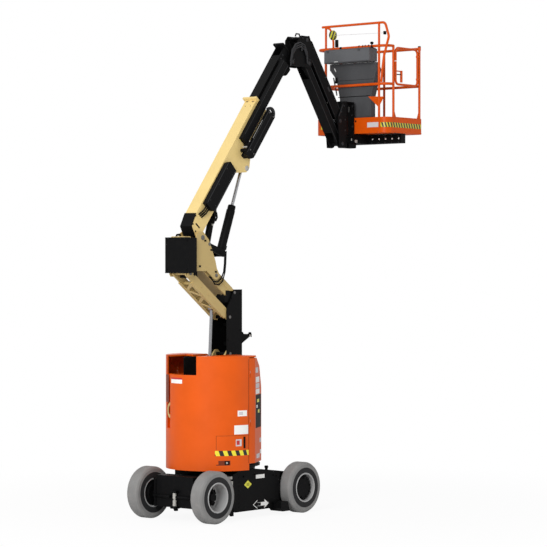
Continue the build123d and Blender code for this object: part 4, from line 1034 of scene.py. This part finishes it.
# Console face: two blank plates, the mouldings' seams and ribs, and a socket.
front = chassis_middle + 2.562
high_plate = slab((-0.001, -0.035, -0.007), (0.001, 0.035, 0.007), 0.0005)
high_plate.location = (lid_low.x - 0.001, 0.186, 5.793)
tall_plate = slab((-0.001, -0.007, -0.025), (0.001, 0.007, 0.025), 0.0005)
tall_plate.rotation_euler = (-0.5, 0, 0)
tall_plate.location = (front - 0.001, 0.295, 5.7)
hang("platform", white_vinyl, console_plate_1=high_plate, console_plate_2=tall_plate)
seams = [slab((front - 0.002, -0.29, 5.328), (front + 0.001, 0.245, 5.338), 0.001),
         slab((front - 0.0015, -0.36, 5.55), (front + 0.001, 0.25, 5.554), 0.0006)]
ribs = [strut((front - 0.004, low, 5.36), (front - 0.004, high, top), (1, 0, 0), wide, 0.008)
        for low, high, top, wide in ((0.262, 0.32, 5.6, 0.018), (-0.318, -0.39, 5.66, 0.014))]
hang("platform", (black_enamel, "console_plastic"), console_seams=gathered(seams))
hang("platform", console_plastic, console_ribs=gathered(ribs))

# Black beam and bracket under the floor: holes, washers, bolts, a stub and a slanting brace.
beam_low, beam_high = floor_z - 0.139, floor_z - 0.012
beam_x, bracket_x = 2.85, 2.484
bores = [at(beam_x, floor_z - 0.075, -0.112 - 0.109 * k) for k in range(5)]
# White discs in the beam's holes are painted light: white where the bright background shows through them.
hang("platform", white_vinyl, beam_holes=spread(stud(0.011, 0.001, 0.009, 0.0015, 24), bores, to_tail))
beam_bolts = [at(beam_x, z, -0.1 - 0.11 * k) for k in range(5) for z in (beam_high - 0.022, beam_low + 0.018)]
beam_edges = [slab(at(beam_x - 0.003, z, -0.586), at(beam_x + 0.001, z + 0.008, 0.586), 0.001)
              for z in (beam_low, beam_high - 0.008)]
bracket_bolts = ((5.2, 0.06), (5.2, -0.06), (4.93, 0.06), (4.93, -0.06), (5.03, 0.05), (5.08, -0.05))
hang("platform", black_edge, beam_edges=gathered(beam_edges),
     beam_screws=spread(cap_screw(0.007), beam_bolts, to_tail),
     bracket_screws=spread(cap_screw(0.01), [at(bracket_x, *spot) for spot in bracket_bolts], to_tail))
oval = stud(0.02, 0.002, 0.017, 0.003, 32)
edit()
bpy.ops.transform.resize(value=(1, 1.8, 1))
close()
hang("platform", dull_steel, bracket_oval=face_along(oval, at(bracket_x, 5.158, 0.005), to_tail))
hang("platform", black_paint, beam_stub=slab(at(2.42, 4.645, -0.06), at(2.57, 4.712, 0.06), 0.012),
     bracket_brace=strut(at(2.51, 5.01, -0.09), at(2.665, 4.854, -0.09), to_right, 0.026, 0.02),
     console_socket=slab((front - 0.012, 0.255, 5.52), (front, 0.29, 5.6), 0.004))
clamps = [slab(at(2.47, 4.742, -0.052), at(2.52, 4.775, -0.046), 0.003),
          slab(at(2.545, 4.722, -0.052), at(2.6, 4.758, -0.046), 0.003)]
hang("platform", zinc, beam_clamps=gathered(clamps))
